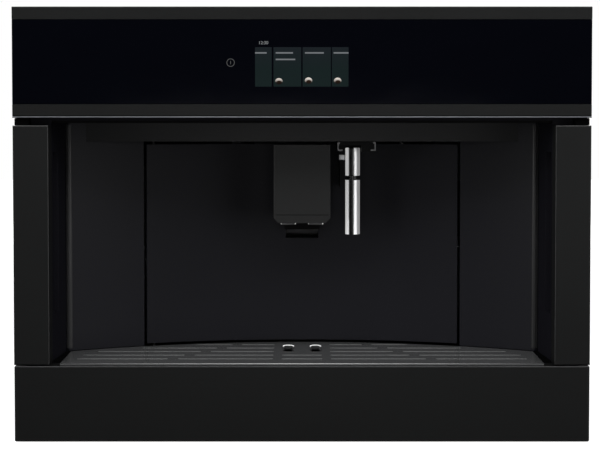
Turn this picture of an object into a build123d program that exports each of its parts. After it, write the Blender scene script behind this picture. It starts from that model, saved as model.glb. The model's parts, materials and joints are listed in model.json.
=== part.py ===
from build123d import *
import os
from math import asin, degrees, sqrt

os.makedirs("parts", exist_ok=True)

# Built-in coffee machine. X runs right, Y back, Z up. The origin is at the middle of the
# footprint, at floor level. Depths are measured back from the front plane of the panels.

# Overall size
front_width = 595.0
front_height = 450.0
overall_depth = 470.0
inlet_proud = 4.0

# Front panels
grip_width = 36.7
panel_depth = 20.0
panel_wall = 2.0
panel_edge_round = 1.2
control_height = 114.0
glass_height = 87.0
top_strip_height = 13.0
glass_thickness = 3.2
glass_setback = 0.4
accent_height = 1.4
accent_depth = 6.0
lower_panel_top = 79.3
floor_clearance = 1.0
grip_bottom_gap = 1.2
grip_top_gap = 8.0

# Niche
niche_radius = 540.0
niche_centre_depth = 145.0
niche_wall = 3.0
niche_ceiling_drop = 6.0
lintel_depth = 91.0
lintel_height = 20.8
lintel_wall = 2.5
cheek_wall = 2.5
cheek_taper = 4.6
cheek_bead_gap = 4.0
edge_bead_radius = 3.2
recess_depth = 16.5
recess_length = 24.0
recess_below_top = 28.0
recess_above_bottom = 49.5

# Service door
door_width = 344.8
door_side_gap = 2.8
door_skin = 2.0
door_floor_gap = 2.6
door_lintel_gap = 4.1
liner_depth = 9.0
liner_wall = 2.5
liner_inset = 14.0
slot_width = 36.6
slot_length = 101.2
slot_below_door_top = 5.1
pin_radius = 1.6
pin_reach = 10.0
pin_inset = 7.0

# Coffee spout
spout_width = 61.8
spout_height = 84.6
spout_over_door = 0.9
spout_front_depth = 75.0
spout_wall = 2.0
spout_rear_clearance = 1.5
nozzle_spacing = 30.0
nozzle_radius = 8.0
nozzle_bore = 5.0
nozzle_drop = 3.2
neck_half = 19.8
neck_drop = 11.6
neck_depth = 12.0

# Steam and hot-water wand
wand_x = 55.5
wand_depth = 100.0
wand_radius = 8.0
wand_bore = 5.0
wand_length = 94.5
sleeve_length = 30.0
sleeve_over_pivot = 11.0
groove_height = 4.0
pivot_below_door_top = 14.1
pivot_radius = 3.0
bracket_lintel_gap = 0.6
bracket_plate = 3.6
bracket_left = 38.5
bracket_right = 80.3
bracket_front_depth = 86.0
ear_width = 5.0
ear_gap = 1.2
ear_drop = 32.3
knob_width = 6.1
knob_height = 5.6
knob_length = 6.0

# Drip tray
grid_top = 81.2
grid_thickness = 1.4
grid_front_depth = 3.0
grid_side_gap = 5.2
grid_rear_gap = 2.5
grid_slot_width = 3.0
grid_row_pitch = 22.5
grid_first_row_depth = 34.0
eyelet_spacing = 30.0
eyelet_width = 11.5
eyelet_length = 44.0
eyelet_depth = 98.0
bowl_wall = 2.0
bowl_inset = 3.0
bowl_height = 33.0
well_wall = 2.5
well_gap = 1.0

# Body of the machine
sheet = 1.2
frame_sheet = 3.0
body_bottom = 8.0
body_below_top = 12.8
bulkhead_x = 78.0
bulkhead_sheet = 1.5
bulkhead_front_depth = 165.0
shelf_height = 186.0
bay_shelf_height = 76.0

# Telescopic rails and base plate
base_sheet = 2.0
rail_room = 16.0
rail_height = 38.0
rail_sheet = 1.5
rail_gap = 0.6
rail_front_depth = 70.0
rail_rear_inset = 11.0
plate_front_depth = 60.0
plate_rear_inset = 6.0
screw_spacing_x = 480.0
screw_spacing_y = 340.0
screw_hole_radius = 2.75

# Fits
seat_gap = 0.3
running_gap = 0.05

# Derived places
front_y = -overall_depth / 2
niche_half = front_width / 2 - grip_width
control_bottom = front_height - control_height
grip_bottom = lower_panel_top + grip_bottom_gap
grip_top = control_bottom - grip_top_gap
niche_top = control_bottom - niche_ceiling_drop
niche_floor = grid_top + seat_gap
frame_back = panel_depth + frame_sheet
recess_front = frame_back + cheek_wall
arc_centre_y = front_y + niche_centre_depth - niche_radius
body_half_width = niche_half + sheet
sheet_inner = body_half_width - sheet
body_top = front_height - body_below_top
body_rear_depth = overall_depth - inlet_proud
wall_left_x = door_width / 2 + door_side_gap
wall_right_x = niche_half - cheek_taper - edge_bead_radius
lintel_bottom = niche_top - lintel_height
recess_bottom = grip_bottom + recess_above_bottom
recess_top = grip_top - recess_below_top
door_bottom = grid_top + door_floor_gap
door_top = lintel_bottom - door_lintel_gap
slot_top = door_top - slot_below_door_top
slot_bottom = slot_top - slot_length
spout_top = door_top + spout_over_door
spout_bottom = spout_top - spout_height
pivot_height = door_top - pivot_below_door_top
sleeve_top = pivot_height + sleeve_over_pivot
sleeve_bottom = sleeve_top - sleeve_length
wand_bottom = sleeve_top - wand_length
bracket_top = lintel_bottom - bracket_lintel_gap
ear_bottom = pivot_height - ear_drop
grid_half_width = niche_half - cheek_taper - grid_side_gap
base_half_width = body_half_width + rail_room
rail_rear_depth = body_rear_depth - rail_rear_inset
plate_rear_depth = body_rear_depth - plate_rear_inset


def y_at(depth):
    """Y of a place behind the front plane."""
    return front_y + depth


def arc_depth(x, radius=niche_radius):
    """Depth of the niche's curved surface at a distance from the middle."""
    return niche_centre_depth - niche_radius + sqrt(radius * radius - x * x)


def finish(piece, name):
    """Label a finished piece and write it."""
    piece.label = name
    export_step(piece, f"parts/{name}.step")


def band_lines(x_left, x_right, inner_radius, outer_radius):
    """Outline in plan of a band that follows the niche arc, with radial ends."""
    first = 90 - degrees(asin(x_right / niche_radius))
    sweep_angle = degrees(asin(x_right / niche_radius) - asin(x_left / niche_radius))
    inner = CenterArc((0, arc_centre_y), inner_radius, first, sweep_angle)
    outer = CenterArc((0, arc_centre_y), outer_radius, first, sweep_angle)
    Line(inner @ 0, outer @ 0)
    Line(inner @ 1, outer @ 1)


def box_between(x_range, depth_range, z_range, mode=Mode.ADD):
    """Box between two limits in width, depth behind the front plane and height."""
    size = [high - low for low, high in (x_range, depth_range, z_range)]
    centre = [(low + high) / 2 for low, high in (x_range, depth_range, z_range)]
    with Locations((centre[0], y_at(centre[1]), centre[2])):
        Box(*size, mode=mode)


def tube_between(x, depth, z_range, radius, mode=Mode.ADD):
    """Upright cylinder between two heights."""
    with Locations((x, y_at(depth), z_range[0])):
        Cylinder(
            radius,
            z_range[1] - z_range[0],
            align=(Align.CENTER, Align.CENTER, Align.MIN),
            mode=mode,
        )


# ---------------------------------------------------------------- front panels

glass_bottom = front_height - top_strip_height - glass_height
housing_bottom = control_bottom + accent_height
housing_back_wall = 2.5

with BuildPart() as control_housing:
    box_between((-front_width / 2, front_width / 2), (0, panel_depth), (housing_bottom, front_height))
    front_edges = control_housing.edges().filter_by(Axis.X).sort_by(Axis.Y)[:2]
    fillet(front_edges, panel_edge_round)
    # open pocket for the glass, the display and the board
    box_between(
        (-front_width / 2, front_width / 2),
        (0, glass_thickness + glass_setback),
        (glass_bottom, glass_bottom + glass_height),
        Mode.SUBTRACT,
    )
    box_between(
        (-front_width / 2 + panel_wall, front_width / 2 - panel_wall),
        (0, panel_depth - housing_back_wall),
        (glass_bottom + panel_wall, glass_bottom + glass_height - panel_wall),
        Mode.SUBTRACT,
    )
    # channels behind the two strips
    for low, high in (
        (housing_bottom + panel_wall, glass_bottom - panel_wall),
        (glass_bottom + glass_height + panel_wall, front_height - panel_wall),
    ):
        box_between(
            (-front_width / 2 + panel_wall, front_width / 2 - panel_wall),
            (panel_wall, panel_depth),
            (low, high),
            Mode.SUBTRACT,
        )
finish(control_housing.part, "control_housing")

glass_play = 0.15
with BuildPart() as control_glass:
    box_between(
        (-front_width / 2, front_width / 2),
        (glass_setback, glass_setback + glass_thickness - seat_gap),
        (glass_bottom + glass_play, glass_bottom + glass_height - glass_play),
    )
    chamfer(control_glass.edges().filter_by(Axis.X).sort_by(Axis.Y)[:2], 0.4)
finish(control_glass.part, "control_glass")

with BuildPart() as accent_strip:
    box_between(
        (-front_width / 2, front_width / 2),
        (0, accent_depth),
        (control_bottom, control_bottom + accent_height),
    )
    fillet(accent_strip.edges().filter_by(Axis.X).sort_by(Axis.Y)[:2], 0.4)
finish(accent_strip.part, "accent_strip")

display_width = 106.0
display_height = 68.0
display_thickness = 4.5
display_z = glass_bottom + glass_height / 2 + 1.8
glass_back = glass_setback + glass_thickness - seat_gap
with BuildPart() as display_module:
    box_between(
        (-display_width / 2, display_width / 2),
        (glass_back, glass_back + display_thickness),
        (display_z - display_height / 2, display_z + display_height / 2),
    )
    # ribbon connector on the back
    box_between(
        (-12.0, 12.0),
        (glass_back + display_thickness, glass_back + display_thickness + 1.0),
        (display_z - 30.0, display_z - 24.0),
    )
finish(display_module.part, "display_module")

board_length = 240.0
board_height = 60.0
board_sheet = 1.6
housing_back = panel_depth - housing_back_wall
board_depth = housing_back - 4.0 - board_sheet
with BuildPart() as control_board:
    box_between(
        (-board_length / 2, board_length / 2),
        (board_depth, board_depth + board_sheet),
        (display_z - board_height / 2, display_z + board_height / 2),
    )
    # four standoffs to the rear wall of the housing
    for x in (-board_length / 2 + 8, board_length / 2 - 8):
        for z in (display_z - board_height / 2 + 8, display_z + board_height / 2 - 8):
            box_between((x - 3, x + 3), (board_depth + board_sheet, housing_back), (z - 3, z + 3))
    # touch controller and driver chips
    for x in (-95.0, -70.0, 75.0, 98.0):
        box_between((x - 7, x + 7), (board_depth - 1.2, board_depth), (display_z - 7, display_z + 7))
finish(control_board.part, "control_board")

with BuildPart() as lower_panel:
    box_between(
        (-front_width / 2, front_width / 2), (0, panel_depth), (floor_clearance, lower_panel_top)
    )
    fillet(lower_panel.edges().filter_by(Axis.Z).sort_by(Axis.Y)[:2], 2.5)
    fillet(lower_panel.faces().sort_by(Axis.Y)[0].edges(), panel_edge_round)
    box_between(
        (-front_width / 2 + panel_wall, front_width / 2 - panel_wall),
        (panel_wall, panel_depth),
        (floor_clearance + panel_wall, lower_panel_top - panel_wall),
        Mode.SUBTRACT,
    )
finish(lower_panel.part, "lower_panel")

for side, side_name in ((-1, "left"), (1, "right")):
    grip_x = sorted((side * niche_half, side * front_width / 2))
    with BuildPart() as grip_panel:
        box_between(grip_x, (0, panel_depth), (grip_bottom, grip_top))
        fillet(grip_panel.faces().sort_by(Axis.Y)[0].edges(), panel_edge_round)
        box_between(
            (grip_x[0] + panel_wall, grip_x[1] - panel_wall),
            (panel_wall, panel_depth),
            (grip_bottom + panel_wall, grip_top - panel_wall),
            Mode.SUBTRACT,
        )
    finish(grip_panel.part, f"{side_name}_grip_panel")

# Sheet frame behind the panels. Its rear face meets the edges of the cabinet.
frame_inset = 7.5
with BuildPart() as front_frame:
    box_between(
        (-front_width / 2 + frame_inset, front_width / 2 - frame_inset),
        (panel_depth, frame_back),
        (body_bottom, front_height - frame_inset),
    )
    box_between(
        (-niche_half, niche_half),
        (panel_depth, frame_back),
        (lower_panel_top, niche_top + frame_sheet),
        Mode.SUBTRACT,
    )
finish(front_frame.part, "front_frame")

# ---------------------------------------------------------------- niche

recess_back = recess_front + recess_length
cheek_rear_depth = arc_depth(wall_right_x) - cheek_bead_gap
recess_outer = niche_half + recess_depth
for side, side_name in ((-1, "left"), (1, "right")):
    with BuildPart() as cheek:
        # tapering wall with its screw flange, drawn in plan
        with BuildSketch(Plane.XY.offset(niche_floor)):
            with BuildLine():
                Polyline(
                    (side * niche_half, y_at(frame_back)),
                    (side * (niche_half + 20.0), y_at(frame_back)),
                    (side * (niche_half + 20.0), y_at(recess_front)),
                    (side * (niche_half + cheek_wall), y_at(recess_front)),
                    (side * (niche_half - cheek_taper + cheek_wall), y_at(cheek_rear_depth)),
                    (side * (niche_half - cheek_taper), y_at(cheek_rear_depth)),
                    close=True,
                )
            make_face()
        extrude(amount=niche_top - niche_floor)
        # finger recess: a cup that opens through the wall
        cup_x = sorted((side * (niche_half - 1.0), side * (recess_outer + cheek_wall)))
        box_between(
            cup_x,
            (frame_back, recess_back + cheek_wall),
            (recess_bottom - cheek_wall, recess_top + cheek_wall),
        )
        hollow_x = sorted((side * (niche_half - 8.0), side * recess_outer))
        box_between(hollow_x, (recess_front, recess_back), (recess_bottom, recess_top), Mode.SUBTRACT)
        # trim what the cup leaves inside the taper
        with BuildSketch(Plane.XY.offset(niche_floor)):
            with BuildLine():
                Polyline(
                    (side * niche_half, y_at(frame_back)),
                    (side * (niche_half - cheek_taper), y_at(cheek_rear_depth)),
                    (side * (niche_half - 20.0), y_at(cheek_rear_depth)),
                    (side * (niche_half - 20.0), y_at(frame_back)),
                    close=True,
                )
            make_face()
        extrude(amount=niche_top - niche_floor, mode=Mode.SUBTRACT)
    finish(cheek.part, f"{side_name}_cheek")

# Curved walls beside the service door, each with a rolled outer edge
for side, side_name in ((-1, "left"), (1, "right")):
    ends = sorted((side * wall_left_x, side * wall_right_x))
    with BuildPart() as side_wall:
        with BuildSketch(Plane.XY.offset(niche_floor)):
            with BuildLine():
                band_lines(ends[0], ends[1], niche_radius, niche_radius + niche_wall)
            make_face()
        extrude(amount=niche_top - niche_floor)
        bead_depth = arc_depth(wall_right_x) + edge_bead_radius
        tube_between(side * wall_right_x, bead_depth, (niche_floor, niche_top), edge_bead_radius)
        # tab that carries the wall on the side sheet
        tab_x = sorted((side * wall_right_x, side * sheet_inner))
        box_between(tab_x, (bead_depth, bead_depth + niche_wall), (niche_floor, niche_top))
    finish(side_wall.part, f"{side_name}_niche_wall")

ceiling_rear_depth = niche_centre_depth + niche_wall
with BuildPart() as niche_ceiling:
    box_between(
        (-niche_half, niche_half),
        (frame_back + seat_gap, ceiling_rear_depth),
        (niche_top + seat_gap, niche_top + seat_gap + niche_wall),
    )
finish(niche_ceiling.part, "niche_ceiling")

# Lintel: flat in front, and fitted to the niche arc behind
lintel_radius = niche_radius - running_gap
lintel_half = sqrt(lintel_radius**2 - (niche_radius - niche_centre_depth + lintel_depth) ** 2)
lintel_limit = wall_right_x - edge_bead_radius
pin_x = -(door_width / 2 - pin_inset)
pin_depth = arc_depth(pin_x) + door_skin + pin_radius + 0.4
lamp_x = 110.0
lamp_radius = 11.0
lamp_depth = 112.0
with BuildPart() as lintel:
    with BuildSketch(Plane.XY.offset(lintel_bottom)):
        with BuildLine():
            spread = degrees(asin(lintel_half / lintel_radius))
            back = CenterArc((0, arc_centre_y), lintel_radius, 90 - spread, 2 * spread)
            Line(back @ 0, back @ 1)
        make_face()
    extrude(amount=lintel_height)
    # hollow from above
    with BuildSketch(Plane.XY.offset(lintel_bottom + lintel_wall)):
        with BuildLine():
            inner_half = sqrt(
                (niche_radius - lintel_wall) ** 2
                - (niche_radius - niche_centre_depth + lintel_depth + lintel_wall) ** 2
            )
            inner_spread = degrees(asin(inner_half / (niche_radius - lintel_wall)))
            hollow = CenterArc(
                (0, arc_centre_y), niche_radius - lintel_wall, 90 - inner_spread, 2 * inner_spread
            )
            Line(hollow @ 0, hollow @ 1)
        make_face()
    extrude(amount=lintel_height, mode=Mode.SUBTRACT)
    # it ends between the rolled edges of the side walls
    box_between(
        (-lintel_limit, lintel_limit), (0, niche_centre_depth), (lintel_bottom, niche_top), Mode.INTERSECT
    )
    # holes for the lamp lenses
    for x in (-lamp_x, lamp_x):
        tube_between(
            x, lamp_depth, (lintel_bottom, lintel_bottom + lintel_wall), lamp_radius, Mode.SUBTRACT
        )
    # rear band above the door, with the upper hinge seat behind it
    with BuildSketch(Plane.XY.offset(lintel_bottom)):
        with BuildLine():
            band_lines(-wall_left_x + 0.5, wall_left_x - 0.5, lintel_radius, niche_radius + niche_wall)
        make_face()
    extrude(amount=lintel_height)
    tube_between(pin_x, pin_depth, (lintel_bottom, niche_top), pin_radius + 3.0)
    tube_between(pin_x, pin_depth, (lintel_bottom, niche_top), pin_radius + running_gap, Mode.SUBTRACT)
finish(lintel.part, "lintel")

with BuildPart() as niche_lamps:
    for x in (-lamp_x, lamp_x):
        tube_between(
            x, lamp_depth, (lintel_bottom, lintel_bottom + lintel_wall), lamp_radius - running_gap
        )
        tube_between(
            x,
            lamp_depth,
            (lintel_bottom + lintel_wall, lintel_bottom + lintel_wall + 2.0),
            lamp_radius + 1.5,
        )
finish(niche_lamps.part, "niche_lamps")

# ---------------------------------------------------------------- service door

hinge_z = (door_bottom - pin_reach, door_top + pin_reach)
with BuildPart() as door_panel:
    with BuildSketch(Plane.XY.offset(door_bottom)):
        with BuildLine():
            band_lines(-door_width / 2, door_width / 2, niche_radius, niche_radius + door_skin)
        make_face()
    extrude(amount=door_top - door_bottom)
    fillet(door_panel.edges().filter_by(Axis.Z), 0.8)
    # slot that the spout's carriage runs in
    box_between(
        (-slot_width / 2, slot_width / 2),
        (niche_centre_depth - 10, niche_centre_depth + 10),
        (slot_bottom, slot_top),
        Mode.SUBTRACT,
    )
finish(door_panel.part, "door_panel")

liner_front = niche_radius + door_skin
liner_bottom = door_bottom + 2.0
liner_top = door_top - 2.0
liner_half = door_width / 2 - liner_inset
guide_half = slot_width / 2 + liner_wall
with BuildPart() as door_back:
    with BuildSketch(Plane.XY.offset(liner_bottom)):
        with BuildLine():
            band_lines(-liner_half, liner_half, liner_front, liner_front + liner_depth)
        make_face()
    extrude(amount=liner_top - liner_bottom)
    # two pockets open to the rear, one each side of the spout's guide
    for low, high in ((-liner_half + liner_wall, -guide_half), (guide_half, liner_half - liner_wall)):
        with BuildSketch(Plane.XY.offset(liner_bottom + liner_wall)):
            with BuildLine():
                band_lines(low, high, liner_front + liner_wall, liner_front + liner_depth)
            make_face()
        extrude(amount=liner_top - liner_bottom - 2 * liner_wall, mode=Mode.SUBTRACT)
    # slot in line with the one in the skin
    box_between(
        (-slot_width / 2, slot_width / 2),
        (niche_centre_depth - 10, niche_centre_depth + 20),
        (slot_bottom, slot_top),
        Mode.SUBTRACT,
    )
    # knuckles for the two pins
    for low, high in ((liner_bottom, door_bottom + pin_reach), (door_top - pin_reach, liner_top)):
        box_between(
            (pin_x - pin_radius - 2.0, -liner_half + 1.0),
            (pin_depth - pin_radius - 0.3, pin_depth + pin_radius + 2.0),
            (low, high),
        )
        tube_between(pin_x, pin_depth, (low, high), pin_radius, Mode.SUBTRACT)
    # the skin lies on everything in front of the liner
    with BuildSketch(Plane.XY.offset(liner_bottom)):
        with Locations((0, arc_centre_y)):
            Circle(liner_front)
    extrude(amount=liner_top - liner_bottom, mode=Mode.SUBTRACT)
finish(door_back.part, "door_back")

with BuildPart() as hinge_pins:
    tube_between(pin_x, pin_depth, (hinge_z[0], door_bottom + pin_reach), pin_radius)
    tube_between(pin_x, pin_depth, (door_top - pin_reach, hinge_z[1]), pin_radius)
finish(hinge_pins.part, "hinge_pins")

# ---------------------------------------------------------------- coffee spout

spout_rear_depth = arc_depth(spout_width / 2) - spout_rear_clearance
chamfer_size = 5.6
with BuildPart() as spout_cover:
    box_between(
        (-spout_width / 2, spout_width / 2),
        (spout_front_depth, spout_rear_depth),
        (spout_bottom, spout_top),
    )
    chamfer(spout_cover.edges().filter_by(Axis.Y).sort_by(Axis.Z)[:2], chamfer_size)
    fillet(spout_cover.edges().filter_by(Axis.Z).sort_by(Axis.Y)[:2], 2.0)
    box_between(
        (-spout_width / 2 + spout_wall + chamfer_size, spout_width / 2 - spout_wall - chamfer_size),
        (spout_front_depth + spout_wall, spout_rear_depth),
        (spout_bottom, spout_top - spout_wall),
        Mode.SUBTRACT,
    )
finish(spout_cover.part, "spout_cover")

carriage_half = slot_width / 2 - 0.8
block_half = spout_width / 2 - spout_wall - chamfer_size - seat_gap
arm_bottom = spout_top - 48.0
arm_top = slot_top - 4.0
shoe_depth = niche_centre_depth + door_skin + liner_depth + seat_gap
shoe_half = slot_width / 2 + 6.0
shoe_thickness = 3.0
nozzle_depth = 100.0
with BuildPart() as spout_carriage:
    box_between(
        (-block_half, block_half),
        (spout_front_depth + spout_wall + seat_gap, spout_rear_depth),
        (spout_bottom + 2.0, spout_top - spout_wall - seat_gap),
    )
    # neck behind the nozzles, close to the door
    box_between(
        (-neck_half, neck_half), (spout_rear_depth - neck_depth, spout_rear_depth), (spout_bottom - neck_drop, spout_bottom + 3.0)
    )
    # coffee ways down to the two nozzles
    for x in (-nozzle_spacing / 2, nozzle_spacing / 2):
        tube_between(x, nozzle_depth, (spout_bottom, spout_bottom + 30), nozzle_bore - 1, Mode.SUBTRACT)
    # arm through the slot, and the shoe that runs behind the liner
    box_between((-carriage_half, carriage_half), (spout_rear_depth - 1, shoe_depth + 1), (arm_bottom, arm_top))
    box_between((-shoe_half, shoe_half), (shoe_depth, shoe_depth + shoe_thickness), (arm_bottom, arm_top))
finish(spout_carriage.part, "spout_carriage")

with BuildPart() as spout_nozzles:
    for x in (-nozzle_spacing / 2, nozzle_spacing / 2):
        tube_between(x, nozzle_depth, (spout_bottom - nozzle_drop, spout_bottom + 2.0), nozzle_radius)
        tube_between(
            x, nozzle_depth, (spout_bottom - nozzle_drop, spout_bottom + 2.0), nozzle_bore, Mode.SUBTRACT
        )
finish(spout_nozzles.part, "spout_nozzles")

# ---------------------------------------------------------------- steam and hot-water wand

wand_reach = niche_centre_depth + 5.0
swing_room = sqrt(wand_radius**2 + (sleeve_top - pivot_height) ** 2) + seat_gap
plate_bottom = max(bracket_top - bracket_plate, pivot_height + swing_room)
ear_right = wand_x - wand_radius - ear_gap
ear_front_depth = wand_depth - wand_radius
with BuildPart() as wand_bracket:
    box_between(
        (bracket_left, bracket_right), (bracket_front_depth, wand_reach), (plate_bottom, bracket_top)
    )
    # ear that holds the pivot
    box_between(
        (ear_right - ear_width, ear_right),
        (ear_front_depth, wand_reach),
        (ear_bottom, plate_bottom + 1),
    )
    # short skirts at the two ends of the plate
    box_between(
        (wand_x + wand_radius + 1.0, bracket_right),
        (bracket_front_depth, wand_reach),
        (bracket_top - 10.5, plate_bottom + 1),
    )
    box_between(
        (bracket_left, ear_right - ear_width + 0.5),
        (bracket_front_depth, wand_reach),
        (bracket_top - 10.5, plate_bottom + 1),
    )
    # the rear is fitted to the door's curve
    with BuildSketch(Plane.XY.offset(ear_bottom - 1)):
        with Locations((0, arc_centre_y)):
            Circle(niche_radius)
    extrude(amount=bracket_top - ear_bottom + 2, mode=Mode.INTERSECT)
    with BuildSketch(Plane.YZ.offset(ear_right - ear_width - 1)):
        with Locations((y_at(wand_depth), pivot_height)):
            Circle(pivot_radius + running_gap)
    extrude(amount=ear_width + 2, mode=Mode.SUBTRACT)
finish(wand_bracket.part, "wand_bracket")

with BuildPart() as wand_sleeve:
    tube_between(wand_x, wand_depth, (sleeve_bottom, sleeve_top), wand_radius)
    fillet(wand_sleeve.edges().filter_by(GeomType.CIRCLE), 0.8)
    # pivot pin through the ear
    with BuildSketch(Plane.YZ.offset(ear_right - ear_width - 1.0)):
        with Locations((y_at(wand_depth), pivot_height)):
            Circle(pivot_radius)
    extrude(amount=wand_radius + ear_gap + ear_width)
    tube_between(wand_x, wand_depth, (sleeve_bottom, sleeve_top - 6.0), wand_bore, Mode.SUBTRACT)
finish(wand_sleeve.part, "wand_sleeve")

with BuildPart() as wand_tube:
    with BuildSketch(Plane.XZ.offset(-y_at(wand_depth))):
        with BuildLine():
            Polyline(
                (wand_x + wand_bore, wand_bottom),
                (wand_x + wand_radius, wand_bottom),
                (wand_x + wand_radius, sleeve_bottom - groove_height),
                (wand_x + wand_radius - 1.2, sleeve_bottom - groove_height),
                (wand_x + wand_radius - 1.2, sleeve_bottom),
                (wand_x + wand_bore, sleeve_bottom),
                close=True,
            )
        make_face()
    revolve(axis=Axis((wand_x, y_at(wand_depth), 0), (0, 0, 1)))
finish(wand_tube.part, "wand_tube")

# Square release button on the front of the ear
with BuildPart() as wand_knob:
    box_between(
        (ear_right - knob_width, ear_right),
        (ear_front_depth - knob_length, ear_front_depth),
        (pivot_height - knob_height / 2 + 1.0, pivot_height + knob_height / 2 + 1.0),
    )
    fillet(wand_knob.faces().sort_by(Axis.Y)[0].edges(), 1.0)
finish(wand_knob.part, "wand_knob")

# ---------------------------------------------------------------- drip tray

grid_radius = niche_radius - grid_rear_gap


def tray_lines(half_width, front_depth, radius):
    """Outline in plan of a tray piece: straight front and sides, and a rear along the niche arc."""
    spread = degrees(asin(half_width / radius))
    rear = CenterArc((0, arc_centre_y), radius, 90 - spread, 2 * spread)
    Polyline(rear @ 0, (half_width, y_at(front_depth)), (-half_width, y_at(front_depth)), rear @ 1)


grid_bottom = grid_top - grid_thickness
eyelet_x = eyelet_spacing / 2
with BuildPart() as drip_grid:
    with BuildSketch(Plane.XY.offset(grid_bottom)):
        with BuildLine():
            tray_lines(grid_half_width, grid_front_depth, grid_radius)
        make_face()
    extrude(amount=grid_thickness)
    fillet(drip_grid.edges().filter_by(Axis.Z).sort_by(Axis.Y)[:2], 2.0)
    # rows of slots, with slanting bridges between the inner and outer groups
    with BuildSketch(Plane.XY.offset(grid_bottom)):
        for row, end_gap in enumerate((14.0, 17.0, 30.0, 76.0, 134.0)):
            outer_end = grid_half_width - end_gap
            depth = grid_first_row_depth + grid_row_pitch * row
            bridge_outer = 142.0 - 16.0 * row
            bridge_inner = bridge_outer - 11.5
            for side in (-1, 1):
                for start, end in ((bridge_outer, outer_end), (31.0, bridge_inner)):
                    with Locations((side * (start + end) / 2, y_at(depth))):
                        SlotOverall(end - start, grid_slot_width)
            if row < 2:
                with Locations((0, y_at(depth))):
                    SlotOverall(2 * (31.0 - 10.0), grid_slot_width)
    extrude(amount=grid_thickness, mode=Mode.SUBTRACT)
    # two finger eyelets with rims turned down
    for x in (-eyelet_x, eyelet_x):
        with BuildSketch(Plane.XY.offset(grid_bottom - 3.0)):
            with Locations(Location((x, y_at(eyelet_depth)), 90)):
                SlotOverall(eyelet_length, eyelet_width)
        extrude(amount=3.0 + grid_thickness)
        with BuildSketch(Plane.XY.offset(grid_bottom - 3.0)):
            with Locations(Location((x, y_at(eyelet_depth)), 90)):
                SlotOverall(eyelet_length - 2.4, eyelet_width - 2.4)
        extrude(amount=3.0 + grid_thickness, mode=Mode.SUBTRACT)
finish(drip_grid.part, "drip_grid")

bowl_front = frame_back + well_wall + well_gap
bowl_top = grid_bottom - seat_gap
bowl_radius = grid_radius - bowl_inset
bowl_half = grid_half_width - bowl_inset
with BuildPart() as drip_bowl:
    with BuildSketch(Plane.XY.offset(bowl_top - bowl_height)):
        with BuildLine():
            tray_lines(bowl_half, bowl_front, bowl_radius)
        make_face()
    extrude(amount=bowl_height)
    with BuildSketch(Plane.XY.offset(bowl_top - bowl_height + bowl_wall)):
        with BuildLine():
            tray_lines(bowl_half - bowl_wall, bowl_front + bowl_wall, bowl_radius - bowl_wall)
        make_face()
    extrude(amount=bowl_height, mode=Mode.SUBTRACT)
finish(drip_bowl.part, "drip_bowl")

# Well of dark plastic that the bowl sits in. It closes the floor of the niche round the tray.
well_bottom = bowl_top - bowl_height - seat_gap - well_wall
well_rear_depth = ceiling_rear_depth + 12.0
well_half = niche_half - seat_gap
well_hollow_radius = grid_radius + 1.2
with BuildPart() as tray_well:
    box_between((-well_half, well_half), (frame_back, well_rear_depth), (well_bottom, grid_top - 0.8))
    with BuildSketch(Plane.XY.offset(well_bottom + well_wall)):
        with BuildLine():
            tray_lines(grid_half_width + 1.2, frame_back - 1, well_hollow_radius)
        make_face()
    extrude(amount=front_height, mode=Mode.SUBTRACT)
    # front wall, below the grid
    box_between(
        (-well_half, well_half), (frame_back, frame_back + well_wall), (well_bottom, bowl_top)
    )
    # seat of the lower hinge pin
    tube_between(pin_x, pin_depth, (hinge_z[0] - 1, grid_top), pin_radius + running_gap, Mode.SUBTRACT)
finish(tray_well.part, "tray_well")

# ---------------------------------------------------------------- body of the machine

floor_sheet = 1.5
floor_top = body_bottom + floor_sheet
bulkhead_top = niche_top + seat_gap + niche_wall
side_front_depth = recess_back + cheek_wall + 6.0
side_vent_length = 70.0
rear_vent_length = 120.0
vent_width = 4.0
vent_pitch = 12.0
vent_below_top = 105.0
side_vent_inset = 60.0
rear_vent_x = 130.0
vent_count = 9
with BuildPart() as chassis_floor:
    box_between((-sheet_inner, sheet_inner), (frame_back, body_rear_depth - sheet), (body_bottom, floor_top))
finish(chassis_floor.part, "chassis_floor")

for side, side_name in ((-1, "left"), (1, "right")):
    sheet_x = sorted((side * sheet_inner, side * body_half_width))
    with BuildPart() as side_sheet:
        box_between(sheet_x, (side_front_depth, body_rear_depth), (body_bottom, body_top - sheet))
        # row of vents near the rear
        with BuildSketch(Plane.YZ.offset(sheet_x[0])):
            with Locations((y_at(body_rear_depth - side_vent_inset), body_top - vent_below_top)):
                with GridLocations(0, vent_pitch, 1, vent_count):
                    SlotOverall(side_vent_length, vent_width)
        extrude(amount=sheet, mode=Mode.SUBTRACT)
    finish(side_sheet.part, f"{side_name}_side_sheet")

inlet_side_room = 70.8
inlet_x = sheet_inner - inlet_side_room
inlet_z = 58.0
inlet_width = 28.0
inlet_height = 21.0
switch_spacing = 45.0
switch_x = inlet_x - switch_spacing
switch_width = 14.0
switch_height = 22.0
with BuildPart() as rear_panel:
    box_between(
        (-sheet_inner, sheet_inner), (body_rear_depth - sheet, body_rear_depth), (floor_top, body_top - sheet)
    )
    box_between(
        (inlet_x - inlet_width / 2, inlet_x + inlet_width / 2),
        (body_rear_depth - sheet, body_rear_depth),
        (inlet_z - inlet_height / 2, inlet_z + inlet_height / 2),
        Mode.SUBTRACT,
    )
    box_between(
        (switch_x - switch_width / 2, switch_x + switch_width / 2),
        (body_rear_depth - sheet, body_rear_depth),
        (inlet_z - switch_height / 2, inlet_z + switch_height / 2),
        Mode.SUBTRACT,
    )
    with BuildSketch(Plane.XZ.offset(-y_at(body_rear_depth))):
        for x in (-rear_vent_x, rear_vent_x):
            with Locations((x, body_top - vent_below_top)):
                with GridLocations(0, vent_pitch, 1, vent_count):
                    SlotOverall(rear_vent_length, vent_width)
    extrude(amount=sheet, mode=Mode.SUBTRACT)
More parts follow.
